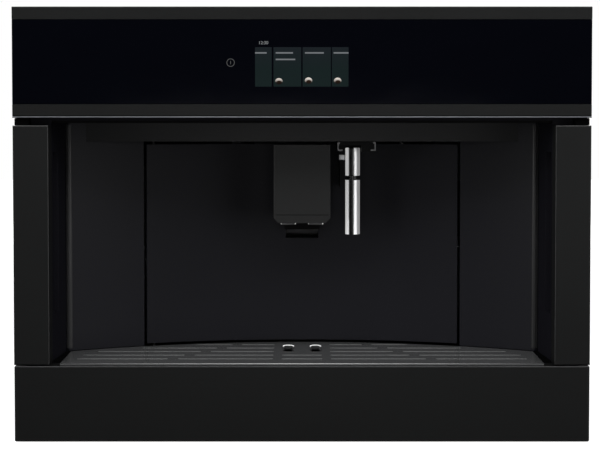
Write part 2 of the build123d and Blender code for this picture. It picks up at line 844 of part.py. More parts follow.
finish(rear_panel.part, "rear_panel")

# Bean hopper and water tank, which set the openings in the top cover
hopper_side_room = 28.8
hopper_bulkhead_gap = 4.0
hopper_rear_room = 54.0
hopper_length = 162.0
hopper_x = (-sheet_inner + hopper_side_room, -bulkhead_x - hopper_bulkhead_gap)
hopper_depths = (body_rear_depth - hopper_rear_room - hopper_length, body_rear_depth - hopper_rear_room)
hopper_centre_x = (hopper_x[0] + hopper_x[1]) / 2
hopper_centre_depth = (hopper_depths[0] + hopper_depths[1]) / 2
tank_side_room = 10.8
tank_width = 90.0
tank_rear_room = 26.0
tank_length = 150.0
tank_x = (sheet_inner - tank_side_room - tank_width, sheet_inner - tank_side_room)
tank_depths = (body_rear_depth - tank_rear_room - tank_length, body_rear_depth - tank_rear_room)
lid_play = 1.0
tank_drop = 5.0
knob_x = -40.0
knob_rear_room = 136.0
knob_depth = body_rear_depth - knob_rear_room
knob_stem = 4.0
lid_sheet = 3.0
lid_overlap = 4.0
bean_hinge_depth = hopper_depths[1] + lid_overlap + 4.0
bean_hinge_z = body_top + seat_gap + 3.2
barrel_ends = (hopper_x[0] + 20.0, hopper_x[1] - 20.0)
lug_width = 5.7
lid_pin_radius = 1.5
barrel_radius = 3.0
with BuildPart() as top_cover:
    box_between(
        (-body_half_width, body_half_width), (frame_back, body_rear_depth), (body_top - sheet, body_top)
    )
    box_between(hopper_x, hopper_depths, (body_top - sheet, body_top), Mode.SUBTRACT)
    box_between(
        (tank_x[0] - lid_play, tank_x[1] + lid_play),
        (tank_depths[0] - lid_play, tank_depths[1] + lid_play),
        (body_top - sheet, body_top),
        Mode.SUBTRACT,
    )
    tube_between(knob_x, knob_depth, (body_top - sheet, body_top), knob_stem + seat_gap, Mode.SUBTRACT)
    # lugs and pin of the bean lid's hinge
    for low in (barrel_ends[0] - seat_gap - lug_width, barrel_ends[1] + seat_gap):
        box_between(
            (low, low + lug_width),
            (bean_hinge_depth - barrel_radius, bean_hinge_depth + barrel_radius),
            (body_top, bean_hinge_z),
        )
        with BuildSketch(Plane.YZ.offset(low)):
            with Locations((y_at(bean_hinge_depth), bean_hinge_z)):
                Circle(barrel_radius)
        extrude(amount=lug_width)
    with BuildSketch(Plane.YZ.offset(barrel_ends[0] - lug_width)):
        with Locations((y_at(bean_hinge_depth), bean_hinge_z)):
            Circle(lid_pin_radius - running_gap)
    extrude(amount=barrel_ends[1] - barrel_ends[0] + 2 * lug_width)
finish(top_cover.part, "top_cover")

grinder_x = hopper_centre_x
grinder_depth = hopper_centre_depth
hopper_height = 92.2
burr_chamber = 53.0
hopper_bottom = body_top - hopper_height
burr_floor = hopper_bottom - burr_chamber
chute_half = 12.0
chute_height = 16.0
with BuildPart() as inner_frame:
    for side in (-1, 1):
        bulkhead = sorted((side * bulkhead_x, side * (bulkhead_x + bulkhead_sheet)))
        shelf = sorted((side * (bulkhead_x + bulkhead_sheet), side * sheet_inner))
        box_between(bulkhead, (bulkhead_front_depth, body_rear_depth - sheet), (floor_top, bulkhead_top))
        box_between(
            shelf, (bulkhead_front_depth, body_rear_depth - sheet), (shelf_height, shelf_height + bulkhead_sheet)
        )
    box_between(
        (-bulkhead_x, bulkhead_x),
        (bulkhead_front_depth, body_rear_depth - sheet),
        (bay_shelf_height, bay_shelf_height + bulkhead_sheet),
    )
    # way through for the ground coffee
    box_between(
        (-bulkhead_x - 2 * bulkhead_sheet, -bulkhead_x + bulkhead_sheet),
        (grinder_depth - chute_half, grinder_depth + chute_half),
        (burr_floor, burr_floor + chute_height),
        Mode.SUBTRACT,
    )
finish(inner_frame.part, "inner_frame")

socket_length = 26.0
with BuildPart() as power_inlet:
    box_between(
        (inlet_x - inlet_width / 2 - 9.0, inlet_x + inlet_width / 2 + 9.0),
        (body_rear_depth, overall_depth),
        (inlet_z - inlet_height / 2 - 3.0, inlet_z + inlet_height / 2 + 3.0),
    )
    box_between(
        (inlet_x - inlet_width / 2 + seat_gap, inlet_x + inlet_width / 2 - seat_gap),
        (body_rear_depth - socket_length, body_rear_depth),
        (inlet_z - inlet_height / 2 + seat_gap, inlet_z + inlet_height / 2 - seat_gap),
    )
    # socket with its three contact blades
    box_between(
        (inlet_x - 11.5, inlet_x + 11.5),
        (body_rear_depth - 17.0, overall_depth),
        (inlet_z - 7.5, inlet_z + 7.5),
        Mode.SUBTRACT,
    )
    for x, z in ((-7.0, -1.5), (0.0, 2.5), (7.0, -1.5)):
        box_between(
            (inlet_x + x - 1.0, inlet_x + x + 1.0),
            (body_rear_depth - 17.0, body_rear_depth - 2.0),
            (inlet_z + z - 2.0, inlet_z + z + 2.0),
        )
finish(power_inlet.part, "power_inlet")

rocker_radius = 13.0
rocker_depth = body_rear_depth - 10.0
with BuildPart() as main_switch:
    with BuildSketch(Plane.YZ.offset(switch_x - switch_width / 2 + 1.0)):
        with Locations((y_at(rocker_depth), inlet_z)):
            Circle(rocker_radius)
    extrude(amount=switch_width - 2.0)
    # keep the rear slice of the drum as the rocker, with its axle
    box_between(
        (switch_x - switch_width, switch_x + switch_width),
        (rocker_depth - 2 * rocker_radius, rocker_depth),
        (inlet_z - 2 * rocker_radius, inlet_z + 2 * rocker_radius),
        Mode.SUBTRACT,
    )
    for side in (-1, 1):
        box_between(
            (switch_x - switch_width, switch_x + switch_width),
            (rocker_depth - rocker_radius, rocker_depth + 2 * rocker_radius),
            sorted((inlet_z + side * (switch_height / 2 - 2.5), inlet_z + side * 2 * rocker_radius)),
            Mode.SUBTRACT,
        )
    with BuildSketch(Plane.YZ.offset(switch_x - switch_width / 2 - 1.0)):
        with Locations((y_at(rocker_depth), inlet_z)):
            Circle(2.0)
    extrude(amount=switch_width + 2.0)
finish(main_switch.part, "main_switch")

switch_wall = 2.0
with BuildPart() as switch_case:
    box_between(
        (switch_x - switch_width / 2 - 1.0 - switch_wall, switch_x + switch_width / 2 + 1.0 + switch_wall),
        (rocker_depth - 12.0, body_rear_depth - sheet),
        (inlet_z - switch_height / 2 - 3.0, inlet_z + switch_height / 2 + 3.0),
    )
    box_between(
        (switch_x - switch_width / 2 - 0.5, switch_x + switch_width / 2 + 0.5),
        (rocker_depth - 10.0, body_rear_depth),
        (inlet_z - switch_height / 2 - 1.0, inlet_z + switch_height / 2 + 1.0),
        Mode.SUBTRACT,
    )
    with BuildSketch(Plane.YZ.offset(switch_x - switch_width)):
        with Locations((y_at(rocker_depth), inlet_z)):
            Circle(2.0 + running_gap)
    extrude(amount=2 * switch_width, mode=Mode.SUBTRACT)
finish(switch_case.part, "switch_case")

screw_radius = 3.2
screw_head = 1.8
top_screw_inset = 5.5
top_screw_end = 20.0
rear_screw_inset = 10.0
with BuildPart() as case_screws:
    with Locations((0, y_at((frame_back + body_rear_depth) / 2), body_top)):
        with GridLocations(
            2 * (body_half_width - top_screw_inset), body_rear_depth - frame_back - 2 * top_screw_end, 2, 2
        ):
            Cylinder(screw_radius, screw_head, align=(Align.CENTER, Align.CENTER, Align.MIN))
    with Locations(Plane.XZ.offset(-y_at(body_rear_depth))):
        with Locations((0, (body_top + floor_top) / 2)):
            with GridLocations(
                2 * (sheet_inner - rear_screw_inset), body_top - floor_top - 2 * rear_screw_inset, 2, 2
            ):
                Cylinder(screw_radius, screw_head, align=(Align.CENTER, Align.CENTER, Align.MAX))
finish(case_screws.part, "case_screws")

# ---------------------------------------------------------------- rails and base plate

rail_bottom = body_bottom
with BuildPart() as base_plate:
    box_between((-base_half_width, base_half_width), (plate_front_depth, plate_rear_depth), (0, base_sheet))
    for side in (-1, 1):
        box_between(
            sorted((side * (base_half_width - base_sheet), side * base_half_width)),
            (plate_front_depth, plate_rear_depth),
            (0, rail_bottom + rail_height),
        )
    with Locations((0, y_at((plate_front_depth + plate_rear_depth) / 2), 0)):
        with GridLocations(screw_spacing_x, screw_spacing_y, 2, 2):
            Cylinder(screw_hole_radius, 4 * base_sheet, mode=Mode.SUBTRACT)
finish(base_plate.part, "base_plate")

# Nested channel sections. Each rail's lips reach past the next rail's web.
rail_lip = 8.0
lip_step = rail_sheet + rail_gap
rail_nest = (
    ("outer_rails", base_half_width - base_sheet, -1, 0.0),
    ("middle_rails", base_half_width - base_sheet - rail_sheet - 2 * rail_gap, -1, lip_step),
    ("inner_rails", body_half_width, 1, 2 * lip_step),
)
for rail_name, web_x, lip_direction, inset in rail_nest:
    low = rail_bottom + inset
    high = rail_bottom + rail_height - inset
    with BuildPart() as rail_pair:
        for side in (-1, 1):
            web = sorted((side * web_x, side * (web_x + lip_direction * rail_sheet)))
            lip = sorted((side * web_x, side * (web_x + lip_direction * rail_lip)))
            box_between(web, (rail_front_depth, rail_rear_depth), (low, high))
            box_between(lip, (rail_front_depth, rail_rear_depth), (low, low + rail_sheet))
            box_between(lip, (rail_front_depth, rail_rear_depth), (high - rail_sheet, high))
    finish(rail_pair.part, rail_name)

# ---------------------------------------------------------------- beans and grinder

hopper_wall = 2.5
throat_radius = 16.0
slope_height = 34.0
with BuildPart() as bean_hopper:
    box_between(
        (hopper_x[0] + 0.5, hopper_x[1] - 0.5),
        (hopper_depths[0] + 0.5, hopper_depths[1] - 0.5),
        (hopper_bottom + slope_height, body_top),
    )
    with BuildSketch(Plane.XY.offset(hopper_bottom + slope_height)):
        with Locations((hopper_centre_x, y_at(hopper_centre_depth))):
            Rectangle(hopper_x[1] - hopper_x[0] - 1.0, hopper_depths[1] - hopper_depths[0] - 1.0)
    with BuildSketch(Plane.XY.offset(hopper_bottom)):
        with Locations((hopper_centre_x, y_at(hopper_centre_depth))):
            Rectangle(2 * throat_radius + 12.0, 2 * throat_radius + 12.0)
    loft()
    box_between(
        (hopper_x[0] + 0.5 + hopper_wall, hopper_x[1] - 0.5 - hopper_wall),
        (hopper_depths[0] + 0.5 + hopper_wall, hopper_depths[1] - 0.5 - hopper_wall),
        (hopper_bottom + slope_height, body_top),
        Mode.SUBTRACT,
    )
    with BuildSketch(Plane.XY.offset(hopper_bottom + slope_height)):
        with Locations((hopper_centre_x, y_at(hopper_centre_depth))):
            Rectangle(
                hopper_x[1] - hopper_x[0] - 1.0 - 2 * hopper_wall,
                hopper_depths[1] - hopper_depths[0] - 1.0 - 2 * hopper_wall,
            )
    with BuildSketch(Plane.XY.offset(hopper_bottom)):
        with Locations((hopper_centre_x, y_at(hopper_centre_depth))):
            Rectangle(2 * throat_radius + 4.0, 2 * throat_radius + 4.0)
    loft(mode=Mode.SUBTRACT)
finish(bean_hopper.part, "bean_hopper")

with BuildPart() as bean_lid:
    box_between(
        (hopper_x[0] - lid_overlap, hopper_x[1] + lid_overlap),
        (hopper_depths[0] - lid_overlap, bean_hinge_depth - barrel_radius - 0.5),
        (body_top + seat_gap, body_top + seat_gap + lid_sheet),
    )
    # hinge barrel along the rear edge, on a tongue of the lid
    box_between(
        barrel_ends,
        (bean_hinge_depth - barrel_radius - 1.0, bean_hinge_depth),
        (body_top + seat_gap, body_top + seat_gap + lid_sheet),
    )
    for radius, mode in ((barrel_radius, Mode.ADD), (lid_pin_radius, Mode.SUBTRACT)):
        with BuildSketch(Plane.YZ.offset(barrel_ends[0])):
            with Locations((y_at(bean_hinge_depth), bean_hinge_z)):
                Circle(radius)
        extrude(amount=barrel_ends[1] - barrel_ends[0], mode=mode)
finish(bean_lid.part, "bean_lid")

grinder_radius = 42.0
grinder_cavity = 30.0
grinder_top = hopper_bottom - seat_gap
gear_height = 20.0
grinder_bottom = burr_floor - gear_height
shaft_radius = 4.0
with BuildPart() as grinder_housing:
    tube_between(grinder_x, grinder_depth, (grinder_bottom, grinder_top), grinder_radius)
    # spout for the ground coffee, towards the brew unit
    box_between(
        (grinder_x, -bulkhead_x - bulkhead_sheet - seat_gap),
        (grinder_depth - chute_half - 4.0, grinder_depth + chute_half + 4.0),
        (burr_floor - 4.0, burr_floor + chute_height + 4.0),
    )
    tube_between(grinder_x, grinder_depth, (burr_floor, grinder_top), grinder_cavity, Mode.SUBTRACT)
    box_between(
        (grinder_x, -bulkhead_x),
        (grinder_depth - chute_half, grinder_depth + chute_half),
        (burr_floor, burr_floor + chute_height),
        Mode.SUBTRACT,
    )
    tube_between(
        grinder_x, grinder_depth, (grinder_bottom, burr_floor), shaft_radius + running_gap, Mode.SUBTRACT
    )
finish(grinder_housing.part, "grinder_housing")

motor_radius = 33.0
motor_top = grinder_bottom - seat_gap
with BuildPart() as grinder_motor:
    tube_between(
        grinder_x, grinder_depth, (shelf_height + bulkhead_sheet, motor_top), motor_radius
    )
    fillet(grinder_motor.edges().filter_by(GeomType.CIRCLE), 3.0)
    tube_between(
        grinder_x, grinder_depth, (motor_top - 22.0, motor_top), shaft_radius + running_gap, Mode.SUBTRACT
    )
finish(grinder_motor.part, "grinder_motor")

burr_play = 0.4
burr_height = 12.0
with BuildPart() as lower_burr:
    tube_between(
        grinder_x,
        grinder_depth,
        (burr_floor + 2.0, burr_floor + 2.0 + burr_height),
        grinder_cavity - burr_play,
    )
    with BuildSketch(Plane.XY.offset(burr_floor + 2.0 + burr_height)):
        with Locations((grinder_x, y_at(grinder_depth))):
            Circle(10.0)
    extrude(amount=6.0, taper=40)
    with BuildSketch(Plane.XY.offset(burr_floor + burr_height)):
        with Locations((grinder_x, y_at(grinder_depth))):
            with PolarLocations(20.0, 12):
                Rectangle(18.0, 1.6)
    extrude(amount=2.0, mode=Mode.SUBTRACT)
    tube_between(grinder_x, grinder_depth, (motor_top - 20.0, burr_floor + 3.0), shaft_radius)
finish(lower_burr.part, "lower_burr")

upper_burr_bottom = burr_floor + 2.0 + burr_height + 0.8
with BuildPart() as upper_burr:
    tube_between(
        grinder_x,
        grinder_depth,
        (upper_burr_bottom, upper_burr_bottom + burr_height),
        grinder_cavity - running_gap,
    )
    tube_between(
        grinder_x, grinder_depth, (upper_burr_bottom, upper_burr_bottom + burr_height), 13.0, Mode.SUBTRACT
    )
    with BuildSketch(Plane.XY.offset(upper_burr_bottom)):
        with Locations((grinder_x, y_at(grinder_depth))):
            with PolarLocations(21.0, 12):
                Rectangle(14.0, 1.6)
    extrude(amount=2.0, mode=Mode.SUBTRACT)
finish(upper_burr.part, "upper_burr")

with BuildPart() as grind_knob:
    tube_between(knob_x, knob_depth, (body_top + seat_gap, body_top + 9.0), 16.0)
    with BuildSketch(Plane.XY.offset(body_top + 3.0)):
        with Locations((knob_x, y_at(knob_depth))):
            with PolarLocations(16.0, 16):
                Circle(1.2)
    extrude(amount=6.0, mode=Mode.SUBTRACT)
    tube_between(knob_x, knob_depth, (body_top - 24.0, body_top + 1.0), knob_stem)
finish(grind_knob.part, "grind_knob")

# ---------------------------------------------------------------- brewing

brew_height = 120.0
chute_over_brew = 8.0
brew_bottom = burr_floor + chute_over_brew - brew_height
brew_x = 36.0
brew_depths = (205.0, 285.0)
brew_depth = (brew_depths[0] + brew_depths[1]) / 2
cylinder_radius = 22.0
rod_radius = 5.0
rod_length = 31.0
piston_height = 18.0
brew_floor = 8.0
piston_rest = 2.0
ear_rise = 20.0
ear_thickness = 12.0
ear_half = 8.0
with BuildPart() as brew_unit:
    box_between((-brew_x, brew_x), brew_depths, (brew_bottom, brew_bottom + brew_height))
    # mounting ears on the two bulkheads
    box_between(
        (-bulkhead_x + seat_gap, bulkhead_x - seat_gap),
        (brew_depth - ear_half, brew_depth + ear_half),
        (brew_bottom + ear_rise, brew_bottom + ear_rise + ear_thickness),
    )
    tube_between(
        0, brew_depth, (brew_bottom + brew_floor, brew_bottom + brew_height), cylinder_radius, Mode.SUBTRACT
    )
    tube_between(0, brew_depth, (brew_bottom, brew_bottom + brew_floor), rod_radius + running_gap, Mode.SUBTRACT)
finish(brew_unit.part, "brew_unit")

piston_bottom = brew_bottom + brew_floor + piston_rest
with BuildPart() as brew_piston:
    tube_between(0, brew_depth, (piston_bottom, piston_bottom + piston_height), cylinder_radius - running_gap)
    tube_between(0, brew_depth, (piston_bottom + 1 - rod_length, piston_bottom + 1), rod_radius)
finish(brew_piston.part, "brew_piston")

grounds_wall = 2.0
grounds_height = 70.0
grounds_half = bulkhead_x - 3.0
grounds_depths = (bulkhead_front_depth + 2.0, 350.0)
grounds_bottom = bay_shelf_height + bulkhead_sheet
with BuildPart() as grounds_container:
    box_between(
        (-grounds_half, grounds_half), grounds_depths, (grounds_bottom, grounds_bottom + grounds_height)
    )
    fillet(grounds_container.edges().filter_by(Axis.Z), 8.0)
    offset(amount=-grounds_wall, openings=grounds_container.faces().sort_by(Axis.Z)[-1])
finish(grounds_container.part, "grounds_container")

shelf_top = shelf_height + bulkhead_sheet
coffee_boiler_room = 40.0
coffee_boiler_x = bulkhead_x + coffee_boiler_room
coffee_boiler_depth = 226.0
coffee_boiler_radius = 34.0
coffee_boiler_height = 96.0
pump_radius = 17.0
pump_side_room = (14.0, 12.0)
pump_rear_room = 40.0
pump_x = (bulkhead_x + pump_side_room[0], tank_x[0] - pump_side_room[1])
pump_depth = body_rear_depth - pump_rear_room
steam_side_room = (18.0, 14.0)
steam_end_room = (30.0, 29.0)
steam_boiler_x = (bulkhead_x + steam_side_room[0], tank_x[0] - steam_side_room[1])
steam_boiler_depths = (
    coffee_boiler_depth + coffee_boiler_radius + steam_end_room[0],
    pump_depth - pump_radius - steam_end_room[1],
)
with BuildPart() as coffee_boiler:
    tube_between(
        coffee_boiler_x, coffee_boiler_depth, (shelf_top + 6.0, shelf_top + coffee_boiler_height),
        coffee_boiler_radius,
    )
    fillet(coffee_boiler.edges().filter_by(GeomType.CIRCLE), 6.0)
    with Locations((coffee_boiler_x, y_at(coffee_boiler_depth), shelf_top)):
        with PolarLocations(18.0, 3):
            Cylinder(4.0, 10.0, align=(Align.CENTER, Align.CENTER, Align.MIN))
    tube_between(
        coffee_boiler_x,
        coffee_boiler_depth,
        (shelf_top + coffee_boiler_height - 1, shelf_top + coffee_boiler_height + 12),
        5.0,
    )
finish(coffee_boiler.part, "coffee_boiler")

steam_boiler_height = 42.0
with BuildPart() as steam_boiler:
    box_between(steam_boiler_x, steam_boiler_depths, (shelf_top + 6.0, shelf_top + 6.0 + steam_boiler_height))
    fillet(steam_boiler.edges().filter_by(Axis.Z), 6.0)
    for x in (steam_boiler_x[0] + 8, steam_boiler_x[1] - 8):
        for depth in (steam_boiler_depths[0] + 8, steam_boiler_depths[1] - 8):
            tube_between(x, depth, (shelf_top, shelf_top + 7.0), 4.0)
finish(steam_boiler.part, "steam_boiler")

pump_z = shelf_top + 24.0
with BuildPart() as pump:
    with BuildSketch(Plane.YZ.offset(pump_x[0])):
        with Locations((y_at(pump_depth), pump_z)):
            Circle(pump_radius)
    extrude(amount=pump_x[1] - pump_x[0])
    for x in (pump_x[0] + 4.0, pump_x[1] - 14.0):
        box_between((x, x + 10.0), (pump_depth - 14.0, pump_depth + 14.0), (shelf_top, pump_z - 4.0))
finish(pump.part, "pump")

# ---------------------------------------------------------------- water tank

tank_wall = 2.5
tank_seat_wall = 4.0
tank_seat_height = 58.5
tank_top = body_top - tank_drop
tank_bottom = shelf_top + tank_seat_height
seat_lip = 10.0
with BuildPart() as tank_seat:
    box_between(
        (tank_x[0] - tank_seat_wall, tank_x[1] + tank_seat_wall),
        (tank_depths[0] - tank_seat_wall, tank_depths[1] + tank_seat_wall),
        (shelf_top, tank_bottom + seat_lip),
    )
    box_between(
        (tank_x[0] - 0.5, tank_x[1] + 0.5),
        (tank_depths[0] - 0.5, tank_depths[1] + 0.5),
        (tank_bottom - seat_gap, tank_bottom + seat_lip),
        Mode.SUBTRACT,
    )
    # underside hollowed
    box_between(
        (tank_x[0], tank_x[1]),
        (tank_depths[0], tank_depths[1]),
        (shelf_top, tank_bottom - 5.0),
        Mode.SUBTRACT,
    )
finish(tank_seat.part, "tank_seat")

with BuildPart() as water_tank:
    box_between(tank_x, tank_depths, (tank_bottom, tank_top))
    fillet(water_tank.edges().filter_by(Axis.Z), 8.0)
    offset(amount=-tank_wall, openings=water_tank.faces().sort_by(Axis.Z)[-1])
finish(water_tank.part, "water_tank")

tank_lid_sheet = 3.0
tank_lid_bottom = tank_top + seat_gap
with BuildPart() as tank_lid:
    box_between(tank_x, tank_depths, (tank_lid_bottom, tank_lid_bottom + tank_lid_sheet))
    fillet(tank_lid.edges().filter_by(Axis.Z), 8.0)
    # recess to lift it by
    with BuildSketch(Plane.XY.offset(tank_lid_bottom + 1.2)):
        with Locations(((tank_x[0] + tank_x[1]) / 2, y_at(tank_depths[0] + 22.0))):
            SlotOverall(44.0, 20.0)
    extrude(amount=tank_lid_sheet, mode=Mode.SUBTRACT)
finish(tank_lid.part, "tank_lid")

# ---------------------------------------------------------------- water pipes

pipe_radius = 3.0
side_bend = 4.5
top_bend = 20.0
side_reach = 9.0
pipe_rise = 26.0
boiler_head = shelf_top + coffee_boiler_height + 12.0
pipe_top = boiler_head + pipe_rise
feed_turn_depth = pump_depth - 60.0
with BuildPart() as water_pipes:
    # pump outlet up and over to the head of the coffee boiler
    with BuildLine() as feed_path:
        FilletPolyline(
            (pump_x[0], y_at(pump_depth), pump_z),
            (pump_x[0] - side_reach, y_at(pump_depth), pump_z),
            (pump_x[0] - side_reach, y_at(pump_depth), pipe_top),
            (coffee_boiler_x, y_at(feed_turn_depth), pipe_top),
            (coffee_boiler_x, y_at(coffee_boiler_depth), pipe_top),
            (coffee_boiler_x, y_at(coffee_boiler_depth), boiler_head),
            radius=(side_bend, side_bend, top_bend, top_bend),
        )
    with BuildSketch(Plane(feed_path.line @ 0, z_dir=feed_path.line % 0)):
        Circle(pipe_radius)
    sweep(path=feed_path.line)
    # tank seat to the pump inlet
    with BuildSketch(Plane.YZ.offset(pump_x[1])):
        with Locations((y_at(pump_depth), pump_z)):
            Circle(pipe_radius)
    extrude(amount=tank_x[0] - tank_seat_wall - pump_x[1])
finish(water_pipes.part, "water_pipes")
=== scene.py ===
import json
import math

import bmesh
import bpy
from mathutils import Matrix, Vector


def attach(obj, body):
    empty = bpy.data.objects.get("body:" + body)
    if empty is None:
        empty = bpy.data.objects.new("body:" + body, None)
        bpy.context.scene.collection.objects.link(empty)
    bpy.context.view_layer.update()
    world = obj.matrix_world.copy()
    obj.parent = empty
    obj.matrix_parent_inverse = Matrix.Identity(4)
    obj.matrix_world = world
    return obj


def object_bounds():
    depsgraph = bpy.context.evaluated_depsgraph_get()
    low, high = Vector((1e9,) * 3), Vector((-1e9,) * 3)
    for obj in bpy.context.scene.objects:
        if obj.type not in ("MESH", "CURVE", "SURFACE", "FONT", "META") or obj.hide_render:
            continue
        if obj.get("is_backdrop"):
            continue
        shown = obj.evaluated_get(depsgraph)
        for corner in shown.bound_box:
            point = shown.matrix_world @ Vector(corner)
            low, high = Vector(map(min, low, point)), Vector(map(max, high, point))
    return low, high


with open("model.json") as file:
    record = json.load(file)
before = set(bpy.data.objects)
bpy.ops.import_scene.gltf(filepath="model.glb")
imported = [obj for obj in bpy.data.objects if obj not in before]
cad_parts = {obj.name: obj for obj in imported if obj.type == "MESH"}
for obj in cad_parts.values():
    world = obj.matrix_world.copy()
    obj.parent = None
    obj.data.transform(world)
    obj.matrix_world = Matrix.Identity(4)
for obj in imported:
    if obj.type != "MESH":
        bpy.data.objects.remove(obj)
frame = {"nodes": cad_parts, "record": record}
cadLow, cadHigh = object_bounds()
nodes = frame["nodes"]
frontY = cadLow.y  # the panels' front plane


class Wire:
    # a node's output, so that maths on it reads as an expression

    def __init__(self, graph, socket):
        self.graph, self.socket = graph, socket

    def maths(self, operation, first, second=0.0):
        return self.graph.node("ShaderNodeMath", {"operation": operation}, {0: first, 1: second})

    def __add__(self, other):
        return self.maths("ADD", self, other)

    def __sub__(self, other):
        return self.maths("SUBTRACT", self, other)

    def __mul__(self, other):
        return self.maths("MULTIPLY", self, other)

    def __truediv__(self, other):
        return self.maths("DIVIDE", self, other)

    def __radd__(self, other):
        return self.maths("ADD", other, self)

    def __rsub__(self, other):
        return self.maths("SUBTRACT", other, self)

    def __rmul__(self, other):
        return self.maths("MULTIPLY", other, self)

    def __rtruediv__(self, other):
        return self.maths("DIVIDE", other, self)

    def __gt__(self, other):
        return self.maths("GREATER_THAN", self, other)

    def __lt__(self, other):
        return self.maths("LESS_THAN", self, other)


class Graph:
    # the node tree of a new material, or one that is handed in

    def __init__(self, name="", tree=None):
        if tree is None:
            self.material = bpy.data.materials.new(name)
            self.material.use_nodes = True
            tree = self.material.node_tree
        self.tree = tree
        self.tree.nodes.clear()
        self.place = Wire(self, self.tree.nodes.new("ShaderNodeTexCoord").outputs["Object"])

    def node(self, kind, settings=None, values=None, output=0):
        made = self.tree.nodes.new(kind)
        for name, value in (settings or {}).items():
            if name == "stops":
                ramp = made.color_ramp
                while len(ramp.elements) < len(value):
                    ramp.elements.new(1.0)
                for element, (position, shade) in zip(ramp.elements, value):
                    element.position, element.color = position, shade
            else:
                setattr(made, name, value)
        for name, value in (values or {}).items():
            socket = made.inputs[name]
            if isinstance(value, Wire):
                self.tree.links.new(value.socket, socket)
            else:
                socket.default_value = value
        return Wire(self, made.outputs[output])

    def stretched(self, scale, turn=(0.0, 0.0, 0.0)):
        return self.node("ShaderNodeMapping", {}, {"Vector": self.place, "Scale": scale, "Rotation": turn})

    def noise(self, size, detail=3.0, place=None, roughness=0.55):
        # size is the width of a blotch in metres
        return self.node(
            "ShaderNodeTexNoise", {},
            {"Vector": place or self.place, "Scale": 1.0 / size, "Detail": detail, "Roughness": roughness},
        )

    def ramp(self, factor, low, high, fromLow=0.0, fromHigh=1.0):
        # factor spread linearly from one range to another
        return self.node(
            "ShaderNodeMapRange", {},
            {"Value": factor, "From Min": fromLow, "From Max": fromHigh, "To Min": low, "To Max": high},
        )

    def tint(self, factor, first, second):
        return self.node(
            "ShaderNodeMix", {"data_type": "RGBA"},
            {"Factor": factor, 6: first if isinstance(first, Wire) else (*first, 1.0),
             7: second if isinstance(second, Wire) else (*second, 1.0)}, output=2,
        )

    def bump(self, height, strength, distance):
        return self.node(
            "ShaderNodeBump", {}, {"Height": height, "Strength": strength, "Distance": distance}
        )

    def surface(self, **values):
        shader = self.node("ShaderNodeBsdfPrincipled", {}, {
            name: (*value, 1.0) if isinstance(value, tuple) and len(value) == 3 else value
            for name, value in values.items()
        })
        end = self.tree.nodes.new("ShaderNodeOutputMaterial")
        self.tree.links.new(shader.socket, end.inputs["Surface"])
        return self.material


def scaled(colour, factor):
    return tuple(channel * factor for channel in colour)


def brushedMetal(name, colour, roughness, along="X", metallic=1.0, streak=0.12, level=0.5):
    # fine drawn lines, with a slow change of tone and a few fingerprints' worth of haze
    graph = Graph(name)
    scale = {"X": (1.0, 60.0, 60.0), "Y": (60.0, 1.0, 60.0), "Z": (60.0, 60.0, 1.0)}[along]
    lines = graph.noise(0.022, 4.0, graph.stretched(scale))
    haze = graph.noise(0.09, 3.0)
    shade = graph.ramp(lines, 1.0 - streak, 1.0 + streak) * graph.ramp(haze, 0.94, 1.06)
    tone = graph.ramp(shade, 0.0, 1.0, 0.8, 1.2)
    return graph.surface(**{
        "Base Color": graph.tint(tone, scaled(colour, 0.8), scaled(colour, 1.2)),
        "Metallic": metallic,
        "Roughness": graph.ramp(lines, roughness - 0.05, roughness + 0.05) + graph.ramp(haze, -0.02, 0.02),
        "Specular IOR Level": level,
        "Normal": graph.bump(lines, 0.12, 0.0001),
    })


def mattPlastic(name, colour, roughness, grain=0.0006, depth=0.00003, level=0.3):
    # moulded plastic with a spark-eroded grain and slight unevenness
    graph = Graph(name)
    pits = graph.noise(grain, 2.0)
    cloud = graph.noise(0.06, 3.0)
    return graph.surface(**{
        "Base Color": graph.tint(cloud, scaled(colour, 0.9), scaled(colour, 1.1)),
        "Roughness": graph.ramp(pits, roughness - 0.06, roughness + 0.06) + graph.ramp(cloud, -0.03, 0.03),
        "Specular IOR Level": level,
        "Normal": graph.bump(pits, 0.35, depth),
    })


def polishedMetal(name, colour, roughness):
    # mirror finish with hairline wipe marks
    graph = Graph(name)
    wipes = graph.noise(0.004, 3.0, graph.stretched((1.0, 1.0, 0.15)))
    cloud = graph.noise(0.03)
    return graph.surface(**{
        "Base Color": graph.tint(cloud, scaled(colour, 0.97), colour),
        "Metallic": 1.0,
        "Roughness": graph.ramp(wipes, roughness * 0.7, roughness * 1.3),
        "Normal": graph.bump(wipes, 0.05, 0.00002),
    })


def zincSheet(name, colour):
    # hot-dip zinc: flat crystals a few millimetres across, each a little lighter or duller
    graph = Graph(name)
    crystals = graph.node(
        "ShaderNodeTexVoronoi", {"feature": "F1"}, {"Vector": graph.place, "Scale": 240.0}, output=1
    )
    shade = graph.node("ShaderNodeSeparateColor", {}, {0: crystals})
    scratches = graph.noise(0.012, 3.0, graph.stretched((1.0, 30.0, 6.0)))
    return graph.surface(**{
        "Base Color": graph.tint(shade, scaled(colour, 0.90), scaled(colour, 1.06)),
        "Metallic": 0.55,
        "Roughness": graph.ramp(shade, 0.52, 0.64) + graph.ramp(scratches, -0.04, 0.04),
        "Normal": graph.bump(shade * 0.3 + scratches, 0.12, 0.00006),
    })


def clearPlastic(name, colour, roughness, alpha):
    # see-through moulding with faint flow marks
    graph = Graph(name)
    flow = graph.noise(0.03, 2.0, graph.stretched((1.0, 1.0, 0.3)))
    return graph.surface(**{
        "Base Color": graph.tint(flow, scaled(colour, 0.9), colour),
        "Roughness": graph.ramp(flow, roughness * 0.8, roughness * 1.4),
        "Alpha": graph.ramp(flow, alpha - 0.04, alpha + 0.04),
        "Specular IOR Level": 0.5,
        "Normal": graph.bump(flow, 0.08, 0.0001),
    })


